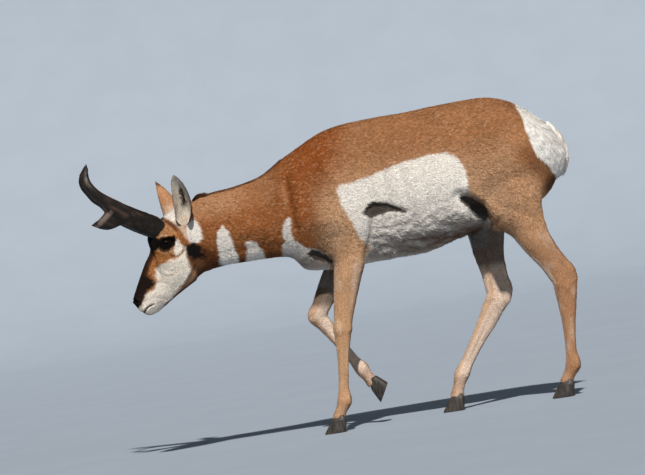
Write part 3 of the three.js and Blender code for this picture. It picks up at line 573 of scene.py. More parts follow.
# Outlines of the markings and hollows in the side view, x and z; those of the face in the unturned head
marks = {
    "flank": [(91, 704), (133, 706), (177, 714), (230, 727), (278, 737), (348, 747), (407, 745),
              (436, 729), (453, 697), (459, 661), (455, 618), (470, 598), (502, 558), (507, 533),
              (498, 505), (490, 380), (90, 380), (125, 440), (150, 480), (155, 518), (140, 530),
              (124, 550), (118, 582), (104, 612), (91, 644), (84, 686)],
    "elbowHollow": [(149, 616), (157, 630), (180, 640), (220, 632), (239, 620), (272, 600), (277, 594),
                    (246, 599), (221, 606), (194, 598), (172, 592), (160, 599), (151, 608)],
    "breastHollow": [(-29, 524), (-15, 533), (10, 526), (42, 492), (38, 485), (1, 499), (-26, 511)],
    "groinHollow": [(426, 617), (447, 617), (472, 604), (498, 583), (510, 548), (500, 540), (484, 538),
                    (466, 563), (442, 585), (428, 601)],
    "rump": [(613, 901), (629, 858), (638, 824), (644, 788), (652, 739), (663, 702), (693, 668), (710, 642),
             (724, 619), (811, 576), (862, 715), (775, 905)],
    "collar": [(-257, 640), (-242, 620), (-234, 580), (-226, 541), (-232, 480), (-300, 480), (-290, 528),
               (-280, 567), (-281, 597), (-274, 625)],
    "throat": [(-199, 583), (-181, 586), (-165, 572), (-151, 547), (-146, 480), (-216, 480), (-211, 527),
               (-198, 556)],
    "chest": [(-67, 640), (-58, 625), (-66, 595), (-59, 568), (-29, 540), (11, 529), (36, 492), (30, 472),
              (20, 420), (-100, 420), (-100, 527), (-97, 558), (-87, 567), (-89, 594), (-81, 624)],
    "underEar": [(-355, 663), (-334, 672), (-326, 658), (-320, 638), (-318, 618), (-330, 603), (-345, 604),
                 (-359, 607), (-363, 630), (-362, 652)],
    "earWhite": [(-421, 693), (-410, 705), (-387, 720), (-374, 710), (-384, 682), (-393, 669), (-406, 681)],
    "earFoot": [(-384, 695), (-385, 673), (-369, 665), (-362, 647), (-365, 616), (-371, 626), (-377, 647),
                (-388, 658), (-393, 669), (-384, 682)],
    "behindEye": [(-400, 626), (-390, 620), (-380, 598), (-386, 581), (-400, 575), (-408, 581), (-407, 598),
                  (-400, 611)],
    "eyeBlack": [(-448, 617), (-446, 629), (-436, 634), (-418, 635), (-400, 634), (-397, 621), (-404, 606),
                 (-419, 597), (-436, 596), (-447, 604)],
    "forehead": [(-470, 650), (-500, 640), (-500, 610), (-480, 596), (-458, 600), (-450, 604), (-444, 614),
                 (-445, 632), (-456, 641)],
    "cheek": [(-367, 596), (-375, 597), (-380, 582), (-398, 573), (-417, 568), (-434, 561), (-451, 556),
              (-464, 545), (-472, 527), (-471, 516), (-464, 510), (-470, 503), (-480, 494), (-491, 488),
              (-504, 477), (-510, 464), (-519, 449), (-533, 442), (-545, 436), (-519, 400), (-500, 405),
              (-472, 423), (-451, 441), (-435, 457), (-413, 475), (-394, 494), (-378, 512), (-364, 531),
              (-367, 548), (-373, 562)],
    "bridge": [(-470, 604), (-462, 595), (-471, 580), (-482, 561), (-491, 541), (-491, 522), (-523, 525),
               (-540, 536), (-512, 590), (-490, 615)],
    "noseBlack": [(-491, 528), (-480, 518), (-472, 506), (-479, 496), (-494, 490), (-504, 480), (-512, 465),
                  (-520, 452), (-528, 444), (-541, 441), (-580, 440), (-590, 480), (-560, 530),
                  (-525, 540)],
    "jawBlack": [(-372, 604), (-354, 605), (-337, 600), (-323, 585), (-311, 572), (-318, 559), (-337, 557),
                 (-357, 558), (-370, 568), (-372, 585)],
    "jawDark": [(-370, 568), (-345, 573), (-311, 570), (-289, 557), (-279, 538), (-269, 527), (-265, 505),
                (-318, 505), (-335, 495), (-369, 543)],
    "rumpDark": [(690, 640), (714, 636), (724, 619), (712, 586), (690, 572), (684, 596)],
}

trunkPart = smoothstep(440, 520, bodyVerts[:, 2]) * smoothstep(-330, -290, bodyVerts[:, 0])
nearHead = smoothstep(-300, -345, bodyVerts[:, 0])
softness = np.clip(0.3 + 0.45 * np.maximum(trunkPart, nearHead * 0.5), 0, 0.75)
thin = smoothstep(500, 440, bodyVerts[:, 2])
bodyVerts = relaxed(bodyVerts, bodyFaces, 12, softness, keep=1.02 * thin)
bodyNormals = pointNormals(bodyVerts, bodyFaces)
inset = coatDepth(bodyVerts) - anatomyHeight(bodyVerts) - woolHeight(bodyVerts)
inset = inset + smoothstep(-352, -380, bodyVerts[:, 0]) * headInset * 2
bodyVerts = bodyVerts - bodyNormals * inset[:, None]
bodyVerts = relaxed(bodyVerts, bodyFaces, 2, np.full(len(bodyVerts), 0.35), keep=np.ones(len(bodyVerts)))
say("skin relaxed and set under the coat")

# Head shell: skull loft with brow, socket, lids, nostril, lips and chin drawn into a fine grid
headSize = ((206, 166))
lidOpening = {"long": 20.5, "high": 14.0, "tilt": math.radians(15), "rim": 2.4, "deep": 18.0}
nostrilAt = {"x": -541.0, "z": 464.0, "long": 8.5, "high": 3.2, "tilt": math.radians(-35), "deep": 6.0}
mouthLine = np.array([(-533, 419), (-528, 424), (-521, 431), (-513, 439), (-505, 444), (-495, 446)], float)
# Cheekbone, lip, chin, brow and the hollow before the ear: centre x and z, spread along x and z, height
faceForms = [
    (-458, 560, 40, 9, 1.6), (-404, 510, 14, 30, 2.0), (-392, 590, 10, 26, -2.0), (-500, 450, 8, 8, -1.2),
    (-520, 470, 14, 10, 2.2), (-470, 470, 30, 14, 1.2), (-440, 668, 16, 10, 2.5), (-398, 648, 16, 14, -3.0),
    (-506, 421, 14, 7, 1.2), (-531, 441, 9, 7, 1.8),
]
# Creases of the cheek and round the eye, in the side view, with width and depth
creases = [
    (((-471, 548), (-464, 533), (-449, 522), (-430, 521)), 2.6, -1.5),
    (((-452, 545), (-441, 536), (-421, 532), (-404, 538)), 2.6, -1.2),
    (((-422, 572), (-405, 573), (-390, 578), (-379, 591)), 3.0, -2.0),
    (((-422, 580), (-405, 582), (-390, 588), (-384, 600)), 4.5, 1.4),
    (((-459, 600), (-440, 590), (-418, 590), (-404, 603)), 2.4, -1.3),
    (((-462, 594), (-440, 583), (-415, 583)), 3.5, 1.2),
    (((-511, 460), (-484, 466), (-457, 455)), 4.0, -0.9),
    (((-489, 499), (-468, 506), (-446, 499)), 4.0, -1.0),
    (((-367, 541), (-397, 501), (-436, 464), (-458, 444)), 5.0, 2.2),
    (((-358, 533), (-388, 493), (-425, 458)), 4.5, -1.6),
    (((-470, 590), (-488, 545), (-510, 500), (-525, 470)), 7.0, -1.6),
]


def ellipseAt(p, middle, shape):
    # Place along and across a tilted ellipse, and how many times its size the point is from the middle
    x, z = p[..., 0] - middle["x"], p[..., 2] - middle["z"]
    c, s = math.cos(shape["tilt"]), math.sin(shape["tilt"])
    u, v = x * c + z * s, z * c - x * s
    return u, v, np.hypot(u / shape["long"], v / shape["high"])


def faceDetail(p, n):
    side = np.sign(p[..., 1])
    flank = smoothstep(4, 12, np.abs(p[..., 1]))
    push = np.zeros(p.shape[:2])
    for cx, cz, sx, sz, height in faceForms:
        push += height * np.exp(-((p[..., 0] - cx) / sx) ** 2 - ((p[..., 2] - cz) / sz) ** 2) * flank
    for line, width, height in creases:
        push += height * np.exp(-(lineDistance(p[..., 0], p[..., 2], line) / width) ** 2) * flank
    lip = lineDistance(p[..., 0], p[..., 2], mouthLine)
    push += 0.9 * np.exp(-((lip - 6) / 3.6) ** 2) * flank - 2.8 * np.exp(-(lip / 2.8) ** 2)
    u, v, _ = ellipseAt(p, nostrilAt, nostrilAt)
    comma = np.hypot(u / nostrilAt["long"], (v + 0.06 * u * u / 3) / nostrilAt["high"])
    wing = 1.8 * np.exp(-((comma - 1.7) / 0.55) ** 2)
    push += flank * (wing - nostrilAt["deep"] * smoothstep(1.15, 0.5, comma))
    p = p + n * push[..., None]
    # Socket and lids: inside the opening the skin sinks behind the eyeball, round it the rim lies on it
    u, v, ring = ellipseAt(p, eye, lidOpening)
    ball = eye["radius"] + lidOpening["rim"]
    proud = np.sqrt(np.maximum(ball ** 2 - u * u - v * v, 0)) + eye["y"]
    out = np.abs(p[..., 1])
    lidded = out + (proud - out) * smoothstep(1.6, 1.12, ring)
    upper = smoothstep(-2, 6, v) * 2.0 * np.exp(-((ring - 1.2) / 0.24) ** 2)
    crease = 2.2 * np.exp(-((ring - 1.62) / 0.14) ** 2) * smoothstep(-4, 8, v)
    lidded = np.where(ring < 2.1, lidded + upper - crease, out)
    sunk = eye["y"] + eye["radius"] - lidOpening["deep"]
    lidded = lidded + (sunk - lidded) * smoothstep(1.03, 0.9, ring)
    near = (ring < 2.1) & (out > 20)
    p[..., 1] = np.where(near, side * lidded, p[..., 1])
    return p


def normalsOfGrid(grid):
    along = np.gradient(grid, axis=0)
    around = np.roll(grid, -1, 1) - np.roll(grid, 1, 1)
    n = unit(np.cross(around, along))
    middle = grid.mean(1, keepdims=True)
    return n * np.sign((n * (grid - middle)).sum(-1).mean())


headRows = smoothRows(skull, headSize[0], middleOf)
headGrid = section(headRows, headSize[1], headRelief)
headGrid = headGrid - normalsOfGrid(headGrid) * headInset
headGrid = faceDetail(headGrid, normalsOfGrid(headGrid))
buried = smoothstep(-362, -335, headGrid[..., 0])
centre = headGrid.mean(1, keepdims=True)
headGrid = headGrid + (centre - headGrid) * (buried * 0.22)[..., None]
headVerts, headFaces = closedGrid(headGrid)
headVerts = turnHead(headVerts)

# The part of the body shell that the head shell covers is left out
middles = bodyVerts[bodyFaces].mean(1)
covered = (middles[:, 0] < -392) & (middles[:, 2] > 400)
keptFaces = bodyFaces[~covered]
used = np.zeros(len(bodyVerts), bool)
used[keptFaces.ravel()] = True
renumber = np.cumsum(used) - 1
bodyVerts, bodyFaces = bodyVerts[used], renumber[keptFaces]
say("head shell of %d triangles" % len(headFaces))


# Markings. The outlines on the face lie this much further back than the unturned head
faceShift = 5.0


def onHead(p):
    # A point of the turned head, set back to the side view that the outlines on the face are drawn in
    q = turnHead(p, back=True)
    return q[..., 0] + faceShift, np.abs(q[..., 1]), q[..., 2]


colour = {
    "back": (0.37, 0.165, 0.068), "shoulder": (0.30, 0.082, 0.016), "neck": (0.335, 0.115, 0.033),
    "neckTop": (0.41, 0.18, 0.075), "flank": (0.57, 0.335, 0.185), "thigh": (0.50, 0.28, 0.148),
    "elbow": (0.44, 0.26, 0.14), "leg": (0.53, 0.31, 0.17), "cannon": (0.37, 0.185, 0.092),
    "white": (0.86, 0.80, 0.73), "cream": (0.74, 0.57, 0.45), "peach": (0.58, 0.37, 0.23),
    "black": (0.008, 0.006, 0.005), "face": (0.46, 0.18, 0.052), "browTan": (0.38, 0.20, 0.10),
    "bridge": (0.085, 0.026, 0.013), "nose": (0.015, 0.008, 0.006), "jaw": (0.50, 0.28, 0.15),
    "throat": (0.10, 0.033, 0.012), "rumpDark": (0.13, 0.055, 0.024), "earBack": (0.5, 0.26, 0.13),
    "earIn": (0.92, 0.80, 0.66), "earCupShade": (0.62, 0.53, 0.43), "tailTop": (0.30, 0.19, 0.12),
    "hollow": (0.045, 0.032, 0.025),
    "thighEdge": (0.62, 0.38, 0.21), "horn": (0.009, 0.006, 0.004), "cheek": (0.93, 0.83, 0.72),
    "chestnut": (0.21, 0.075, 0.026), "breastShade": (0.30, 0.22, 0.16), "belly": (0.22, 0.165, 0.125),
    "legShade": (0.07, 0.048, 0.037), "rumpWhite": (0.9, 0.86, 0.8),
}
colour = {name: np.array(rgb) for name, rgb in colour.items()}


def blendTo(base, share, rgb):
    return base + (rgb - base) * share[:, None]


def coatColour(p, n):
    # Base from height and place, then each marking where its field, roughened by noise, is above zero
    x, y, z = p.T
    side = np.abs(y)
    rough = noise(p, 15, 1) * 2.2 + noise(p, 5, 2) * 2.0
    at, ahead, out, hind, _ = legPlace(p)
    base = np.tile(colour["back"], (len(p), 1))

    def to(share, rgb):
        nonlocal base
        base = blendTo(base, np.clip(share, 0, 1), colour[rgb] if isinstance(rgb, str) else rgb)

    to(smoothstep(800, 640, z), "flank")
    to(smoothstep(70, -30, x), "neck")
    to(smoothstep(-60, -120, x) * smoothstep(650, 720, z), "neckTop")
    to(smoothstep(-150, -260, x) * smoothstep(640, 700, z) * 0.4, "flank")
    to(smoothstep(430, 580, x) * smoothstep(780, 620, z), "thigh")
    band = smoothstep(120, 20, np.abs(x - 20 - (z - 780) * 0.35)) * smoothstep(-105, -50, x)
    to(band * smoothstep(640, 780, z), "shoulder")
    to(smoothstep(60, 10, np.abs(x + 30)) * smoothstep(720, 690, z) * smoothstep(600, 640, z) * 0.6,
       "shoulder")
    to(smoothstep(70, 20, np.abs(x - 60)) * smoothstep(600, 530, z), "elbow")
    haunch = smoothstep(60, 15, np.abs(x - 635 - (z - 700) * 0.1))
    to(haunch * smoothstep(600, 680, z) * smoothstep(880, 820, z) * 0.6, "back")
    neckFold = smoothstep(7, 2, np.abs(x + 68 + (z - 690) * 0.03))
    to(neckFold * smoothstep(640, 680, z) * smoothstep(750, 720, z) * 0.4, "flank")
    base = base * (1 + 0.07 * noise(p, 55, 5) + 0.06 * noise(p, 14, 7))[:, None]
    stipple = noise(p, 4.4, 16)
    to(smoothstep(0.15, 0.6, stipple) * 0.4, "rumpDark")
    to(smoothstep(0.15, 0.6, -stipple) * 0.34, "peach")
    body = x > -330

    def mark(name, rgb, share=1.0, width=3.0):
        to(smoothstep(-width, width, insideDistance(x, z, marks[name]) + rough) * share, rgb)

    # Legs: tan outside and in front, cream inside, a thin dark line down the rear edge
    low = smoothstep(500, 455, z) * body
    to(low, "leg")
    to(low * hind * smoothstep(0.9, 1.9, at) * 0.8, "cannon")
    to(low * smoothstep(0.1, 0.7, noise(p * [1, 1, 0.5], 20, 21)) * 0.3, "cream")
    to(low * smoothstep(-4, -15, ahead + rough) * smoothstep(1.9, 1.2, at) * 0.45, "cream")
    inner = smoothstep(0.05, 0.45, -n[:, 1] * np.sign(y) + rough * 0.02)
    to(low * inner, "cream")
    to(low * inner * smoothstep(4, 13, ahead + rough) * 0.8, "peach")
    to(low * hind * smoothstep(14, 26, ahead + rough) * smoothstep(2.2, 1.8, at) * (out < 14) * 0.8,
       "cream")
    edgeOn = smoothstep(0.75, 0.3, np.abs(n[:, 1]))
    to(low * edgeOn * smoothstep(4, 10, ahead) * 0.55, "cream")
    to(low * edgeOn * smoothstep(-10, -22, ahead + rough * 0.5) * smoothstep(0.6, 1.4, at) * 0.5,
       "rumpDark")
    to(low * smoothstep(2.92, 3.3, at) * 0.45, "cannon")
    # Belly, breast and the inside of the thighs, with painted shade on the underside, in the hollows and on
    # the inner upper legs
    underside = smoothstep(-0.3, -0.65, n[:, 2] + rough * 0.03) * smoothstep(60, 100, x)
    underside = underside * smoothstep(600, 520, z) * smoothstep(520, 495, x)
    to(underside * smoothstep(440, 470, z), "white")
    upperLegShadow = inner * smoothstep(350, 380, z - 40 * hind) * smoothstep(560, 500, z) * body
    inThigh = smoothstep(0.2, 0.6, -n[:, 1] * np.sign(y)) * (x > 300) * (1 - low) * smoothstep(76, 60, side)
    to(inThigh * smoothstep(640, 610, z), "white")
    to(inThigh * smoothstep(560, 480, z), "cream")
    to(smoothstep(-5, 5, insideDistance(x, z, marks["flank"]) + rough) * smoothstep(452, 470, z), "white")
    thighLine = lineDistance(x, z, ((466, 612), (511, 558), (518, 520)))
    to(smoothstep(9, 3, thighLine + rough * 0.5) * 0.6, "thighEdge")
    to(smoothstep(80, 20, np.hypot(x - 525, (z - 580) * 0.8)) * smoothstep(470, 490, x) * 0.35, "peach")
    rumpEdge = lineDistance(x, z, ((640, 706), (664, 682), (684, 648), (700, 596)))
    to(smoothstep(48, 6, rumpEdge + rough) * 0.7, "chestnut")
    mark("rump", "rumpWhite")
    mark("chest", "white", 0.95)
    # Painted shade: the lower breast darkened where it lies in shade
    to(smoothstep(528, 500, z) * smoothstep(-115, -95, x) * smoothstep(60, 40, x) * 0.7 * (1 - low),
       "breastShade")
    # Painted shade: the belly darkened where it faces down
    belly = smoothstep(-0.3, -0.75, n[:, 2] + rough * 0.03) * smoothstep(110, 160, x)
    belly = belly * smoothstep(520, 470, x)
    to(belly * (1 - low) * 0.7, "belly")
    # Painted shade: dark brown along the lowest underside of chest and belly, stronger towards the belly
    keelShade = smoothstep(-0.66, -0.92, n[:, 2] + rough * 0.035) * smoothstep(-110, -80, x)
    keelShade = keelShade * smoothstep(560, 480, x)
    to(keelShade * smoothstep(540, 520, z) * (1 - low) * (0.45 + 0.35 * smoothstep(150, 250, x)), "rumpDark")
    # Painted shadow: the body's shadow on the inner upper legs, dark brown
    to(upperLegShadow * 0.75, "legShade")
    # Painted shadow: a dark line behind the white puff at the elbow
    puffShadow = lineDistance(x, z, ((170, 590), (160, 547), (142, 506)))
    to(smoothstep(11, 1, puffShadow + rough * 0.6) * 0.5 * (side > 60), "hollow")
    # Painted light: the lower shoulder lightened where its bulge faces down and falls into shade
    to(smoothstep(46, 10, np.hypot(x - 62, z - 560)) * 0.35 * (side > 60), "peach")
    mark("rumpDark", "rumpDark", 0.9, 8)
    mark("collar", "white")
    mark("throat", "white", 0.95)
    # Painted shade: near black in the hollows behind the elbow, between the forelegs and between belly and
    # thigh
    mark("elbowHollow", "hollow", 0.95)
    mark("breastHollow", "hollow", 0.95)
    mark("groinHollow", "hollow", 0.95)
    darkThroat = smoothstep(556, 522, z + rough * 2) * smoothstep(-70, -120, x) * smoothstep(-330, -290, x)
    collars = np.maximum(insideDistance(x, z, marks["collar"]), insideDistance(x, z, marks["throat"]))
    to(darkThroat * smoothstep(4, -4, collars + rough) * 0.85, "throat")
    to(smoothstep(640, 560, z) * smoothstep(-100, -150, x) * smoothstep(4, -4, collars + rough) * 0.3,
       "throat")
    to(smoothstep(7, 2, side + rough) * smoothstep(690, 720, z) * smoothstep(-100, -150, x) * 0.6,
       "rumpDark")
    streak = smoothstep(-0.25, 0.4, noise(p * [1, 1, 0.2], 5, 14)) * smoothstep(730, 744, x) * (side < 20)
    to(streak * smoothstep(640, 670, z) * smoothstep(815, 770, z) * 0.7, "tailTop")
    # Face
    hx, hy, hz = onHead(p)
    trunkBase, base = base, np.tile(colour["face"], (len(p), 1))
    grain = noise(p, 3.2, 15)
    patches = noise(p, 4.5, 12) * 0.5 + noise(p, 9, 13) * 0.5

    def face(name, rgb, share=1.0, width=2.2, blur=0.45):
        to(smoothstep(-width, width, insideDistance(hx, hz, marks[name]) + rough * blur) * share, rgb)

    def line(points, width, rgb, share=1.0, blur=0.4):
        to(smoothstep(width + 1.5, width - 1.5, lineDistance(hx, hz, points) + rough * blur) * share, rgb)

    to(smoothstep(-375, -335, hx) * smoothstep(600, 640, hz), "neckTop")
    to(smoothstep(0.1, 0.6, patches) * smoothstep(560, 590, hz) * (hx < -400) * 0.5, "browTan")
    to(smoothstep(625, 650, hz) * smoothstep(-470, -430, hx) * 0.6, "browTan")
    to(smoothstep(0.05, 0.45, grain) * 0.5, "throat")
    to(smoothstep(0.1, 0.5, -grain) * 0.25, "jaw")
    line(((-414, 678), (-403, 668), (-388, 648)), 6, "throat", 0.85, 0.8)
    line(((-388, 648), (-379, 625), (-374, 606)), 7, "chestnut", 0.6, 0.8)
    line(((-471, 639), (-461, 641), (-452, 647), (-443, 657), (-436, 669), (-426, 680)), 3, "cream", 0.8)
    line(((-480, 647), (-470, 640)), 4, "cream", 0.8)
    line(((-442, 637), (-433, 640), (-421, 638)), 1.6, "cream", 0.6)
    jaw = smoothstep(14, -12, (hz - 505) - (hx + 400) * 1.0)
    to(jaw * smoothstep(-470, -430, hx), "jaw")
    to(smoothstep(0.1, 0.5, grain) * jaw * 0.4, "throat")
    face("bridge", "bridge", 1.0, 9, 1.6)
    to(smoothstep(30, 14, hy + rough * 0.4) * smoothstep(640, 610, hz), "bridge")
    line(((-470, 592), (-490, 560), (-508, 520), (-515, 480)), 9, "nose", 0.6, 1.0)
    face("noseBlack", "nose", 1.0, 8, 1.6)
    to(smoothstep(560, 505, hz) * smoothstep(30, 14, hy) * smoothstep(-480, -500, hx), "nose")
    to(smoothstep(640, 660, hz) * smoothstep(36, 20, hy) * smoothstep(-400, -430, hx), "nose")
    face("earWhite", "white", 1.0, 5)
    face("earFoot", "cream", 0.75, 5)
    # Painted shade: the foot of the ear's cup in the shaded colour of the ear's inside
    cupShade = smoothstep(26, 15, np.hypot(hx + 364, hz - 678))
    to(cupShade * 0.9, "earCupShade")
    to(cupShade * smoothstep(-0.1, 0.5, noise(p * [1, 1, 0.25], 3, 9)) * 0.55, "jaw")
    face("behindEye", "cheek", 1.0, 4)
    face("cheek", "cheek", 1.0, 6, 1.6)
    # Darker lines along the cheek creases: painted shade in the creases
    line(((-417, 571), (-401, 572), (-388, 579), (-379, 590)), 1.8, "jaw", 0.8)
    line(((-455, 530), (-449, 520), (-436, 520), (-418, 526), (-401, 535)), 1.2, "jaw", 0.45)
    line(((-429, 563), (-409, 553), (-387, 556)), 1.2, "jaw", 0.3)
    line(((-440, 459), (-421, 475), (-403, 489), (-385, 503), (-371, 517)), 1.6, "throat", 0.4)
    face("forehead", "black", 1.0, 3)
    face("eyeBlack", "black", 1.0, 2)
    line(((-451, 602), (-441, 593), (-425, 588), (-408, 593), (-402, 599)), 1.6, "cream", 0.6)
    lips = lineDistance(hx - faceShift, hz, mouthLine)
    to(smoothstep(5, 2, lips + (hx + 528) * 0.04) * 0.97, "black")
    line(((-490, 446), (-476, 452), (-456, 455)), 1.2, "jaw", 0.4)
    line(((-536, 445), (-530, 444), (-523, 447)), 1.5, "nose", 0.8)
    to(smoothstep(-532, -541, hx) * smoothstep(438, 446, hz), "black")
    base = trunkBase + (base - trunkBase) * smoothstep(-318, -340, x)[:, None]
    # Marks that run from the head on to the neck
    face("underEar", "white", 1.0, 4)
    face("jawDark", "throat", 0.85, 7, 1.4)
    face("jawBlack", "black", 1.0, 7, 2.0)
    line(((-325, 578), (-303, 566), (-286, 550)), 7, "throat", 0.8, 1.8)
    return np.clip(base, 0.003, 0.95)


# Skin: the two shells as one mesh, and an unwrap round each part that places the tufts' patches
skinVerts, skinFaces = joinShells([(bodyVerts, bodyFaces), (headVerts, headFaces)])
skinNormals = pointNormals(skinVerts, skinFaces)


def unwrapPlace(p):
    # Trunk, neck and head: length along the body and angle round it; each leg in a strip of its own
    x, y, z = p.T
    legPart = (z < 455) & (x > -120)
    axis = np.interp(x, [-560, -400, -300, -100, 100, 400, 760], [470, 590, 630, 660, 680, 700, 700])
    around = np.arctan2(y, z - axis) / (2 * np.pi) + 0.5
    u = 0.02 + 0.96 * np.clip((x + 660) / 1440, 0, 1)
    v = 0.3 + 0.68 * around
    hind = x > 230
    legX = np.where(hind, np.where(y < 0, np.interp(z, [40, 90, 337, 470], [650, 676, 690, 620]),
                                   np.interp(z, [40, 100, 317, 470], [338, 361, 505, 498])),
                    np.where(y < 0, np.interp(z, [40, 87, 290, 480], [-13, 10, 40, 94]),
                             np.interp(z, [118, 161, 338, 480], [104, 77, -26, 60])))
    strip = hind * 2 + (y > 0)
    turn = np.arctan2(np.abs(y) - 74, x - legX) / (2 * np.pi) + 0.5
    legU = (strip + 0.05 + 0.9 * turn) / 4
    legV = 0.01 + 0.26 * np.clip(z / 460, 0, 1)
    return np.stack([np.where(legPart, legU, u), np.where(legPart, legV, v)], 1)


def hairLie(p, n):
    # The coat runs from the nose back over the body and down each leg
    x, y, z = p.T
    lie = np.stack([np.ones(len(p)), 0.0 * x, -0.3 * smoothstep(20, 90, np.abs(y))], 1)
    way = legPlace(p)[-1]
    legPart = smoothstep(530, 460, z) * (x > -120)
    lie = lie * (1 - legPart)[:, None] + np.stack([way[:, 0], 0 * x, way[:, 1]], 1) * legPart[:, None]
    shoulder = smoothstep(70, 10, np.abs(x - 60)) * smoothstep(700, 560, z) * (z > 440)
    lie = lie + np.array([0, 0, -0.8]) * shoulder[:, None]
    haunch = smoothstep(540, 640, x) * (z > 440)
    lie = lie + np.array([-0.3, 0, -1.1]) * haunch[:, None]
    throat = smoothstep(-80, -140, x) * smoothstep(600, 540, z) * (x > -330)
    lie = lie + np.array([0, 0, -0.4]) * throat[:, None]
    head = smoothstep(-330, -350, x)
    lie = lie * (1 - head)[:, None] + np.array([0.62, 0, 0.6]) * head[:, None]
    cheek = head * smoothstep(-470, -420, x) * smoothstep(600, 560, z)
    lie = lie + np.array([0.5, 0, -0.5]) * cheek[:, None]
    return unit(lie - n * (lie * n).sum(1, keepdims=True))


def scatter(verts, faces, normals, density, seed):
    # Roots spread over the surface, their number from each triangle's area and the density there
    draw = np.random.default_rng(seed)
    a, b, c = verts[faces].transpose(1, 0, 2)
    area = np.linalg.norm(np.cross(b - a, c - a), axis=1) / 2
    want = area * density
    total = int(want.sum())
    edges = np.cumsum(want)
    picks = (np.arange(total) + draw.random(total)) * edges[-1] / total
    face = np.minimum(np.searchsorted(edges, picks), len(faces) - 1)
    s, t = np.sqrt(draw.random(total)), draw.random(total)
    w = np.stack([1 - s, s * (1 - t), s * t], 1)[:, :, None]
    corners = faces[face]
    return (verts[corners] * w).sum(1), unit((normals[corners] * w).sum(1))


patchAcross = 0.003
# How far along each ring of a tuft lies, and how wide it is there; the last place is the tip
blades = {
    "short": {"shares": (-0.1, 0.45, 1.0), "widths": (0.8, 1.0)},
    "long": {"shares": (-0.1, 0.3, 0.68, 1.0), "widths": (0.75, 1.0, 0.72)},
}


def growTufts(name, roots, normals, lie, length, width, lift, tint, seed, blade="short", sway=0.2):
    # Blade: spine = root + lie*L*s + normal*L*lift*sin(s*pi/2), its width narrowing to a tip
    draw = np.random.default_rng(seed)
    n = len(roots)
    shares, widths = blades[blade]["shares"], blades[blade]["widths"]
    rings = len(widths)
    corners = 2 * rings + 1
    across = unit(np.cross(normals, lie))
    yaw = draw.normal(0, sway, n)[:, None]
    way = unit(lie * np.cos(yaw) + across * np.sin(yaw))
    across = unit(np.cross(normals, way))
    size = (length * draw.uniform(0.72, 1.28, n))[:, None]
    wide = (width * draw.uniform(0.75, 1.25, n))[:, None] / 2
    up = (lift * draw.uniform(0.4, 1.6, n))[:, None]
    edge = unit(across + normals * draw.normal(0, 0.16, n)[:, None])
    curl = draw.normal(0, 0.12, n)[:, None]
    points = np.empty((n, corners, 3))
    shades = np.empty((n, corners, 3))
    patch = np.empty((corners, 2))
    tones = np.clip(draw.normal(1.0, 0.1, n), 0.6, 1.3)[:, None]
    for k, share in enumerate(shares):
        rise = up * np.sin(max(share, 0) * np.pi / 2) - 0.06 * (share < 0)
        spine = roots + way * size * share + normals * size * rise + across * size * curl * share * share
        shade = tint * tones * (0.94 + 0.12 * max(share, 0))
        low, high = 2 * k, min(2 * k + 1, corners - 1)
        spread = wide * widths[k] if k < rings else 0
        points[:, low] = spine - edge * spread
        points[:, high] = spine + edge * spread
        shades[:, low] = shades[:, high] = shade
        patch[low] = (-1 if k < rings else 0, 2 * share - 1)
        patch[high] = (1 if k < rings else 0, 2 * share - 1)
    quad = np.array([(0, 1, 3), (0, 3, 2)])
    one = np.concatenate([*(quad + 2 * k for k in range(rings - 1)), [np.arange(corners - 3, corners)]])
    faces = (one[None] + corners * np.arange(n)[:, None, None]).reshape(-1, 3)
    # Each tuft's patch on the skin's unwrap, at its root
    uv = unwrapPlace(roots)[:, None, :] + np.clip(patch, -1, 1)[None] * patchAcross / 2
    points[..., 2] = np.maximum(points[..., 2], 1.0)
    tints = np.clip(shades, 0.002, 0.95).reshape(-1, 3)
    return writeMesh(name, points.reshape(-1, 3), faces, tints, uv.reshape(-1, 2))


def coatGrain(p):
    # Length, width and lift of the coat by place
    x, _, z = p.T
    length = np.full(len(p), 9.5)
    width = np.full(len(p), 2.5)
    lift = np.full(len(p), 0.15)

    def to(share, newLength, newWidth, newLift):
        nonlocal length, width, lift
        length = length + (newLength - length) * share
        width = width + (newWidth - width) * share
        lift = lift + (newLift - lift) * share

    to(smoothstep(150, 200, x) * smoothstep(620, 540, z) * (x < 520), 17, 3.0, 0.2)
    to(smoothstep(0, 14, insideDistance(x, z, marks["rump"])), 22, 3.0, 0.12)
    to(smoothstep(-60, -120, x), 9, 2.4, 0.16)
    to(smoothstep(500, 440, z) * (x > -120), 7.5, 1.9, 0.12)
    to(smoothstep(300, 200, z) * (x > -120), 5.5, 1.6, 0.12)
    to(smoothstep(-325, -350, x), 5.6, 1.5, 0.13)
    to(smoothstep(-430, -480, x), 4.0, 1.25, 0.12)
    return length, width, lift


share = 1.0
faceMiddles = skinVerts[skinFaces].mean(1)
cx, _, cz = faceMiddles.T
faceIsHead = skinFaces[:, 0] >= len(bodyVerts)
eyeSpots = turnHead(np.array([[eye["x"], side * eye["y"], eye["z"]] for side in (-1, 1)]))
nearEye = np.min([np.linalg.norm(faceMiddles - spot, axis=1) for spot in eyeSpots], axis=0)
hx, _, hz = onHead(faceMiddles)
density = np.full(len(skinFaces), 0.2)
density = np.where((cz < 500) & (cx > -120), 0.26, density)
density = np.where((cz < 260) & (cx > -120), 0.32, density)
density = np.where(faceIsHead, 0.46, density)
density = np.where(faceIsHead & (cx < -470), 0.6, density)
atLips = lineDistance(hx - faceShift, hz, mouthLine) < 3.0
bare = faceIsHead & ((nearEye < 19) | atLips | (hx < -549) | (cx > -352))
density = np.where(bare | (~faceIsHead & (cx < -352) & (cz > 400)), 0.0, density)
density = np.where(cz < 42, 0.05, density)
roots, rootNormals = scatter(skinVerts, skinFaces, skinNormals, density * share, 5)
say("%d roots of the coat" % len(roots))
rootLie = hairLie(roots, rootNormals)
rootLength, rootWidth, rootLift = coatGrain(roots)
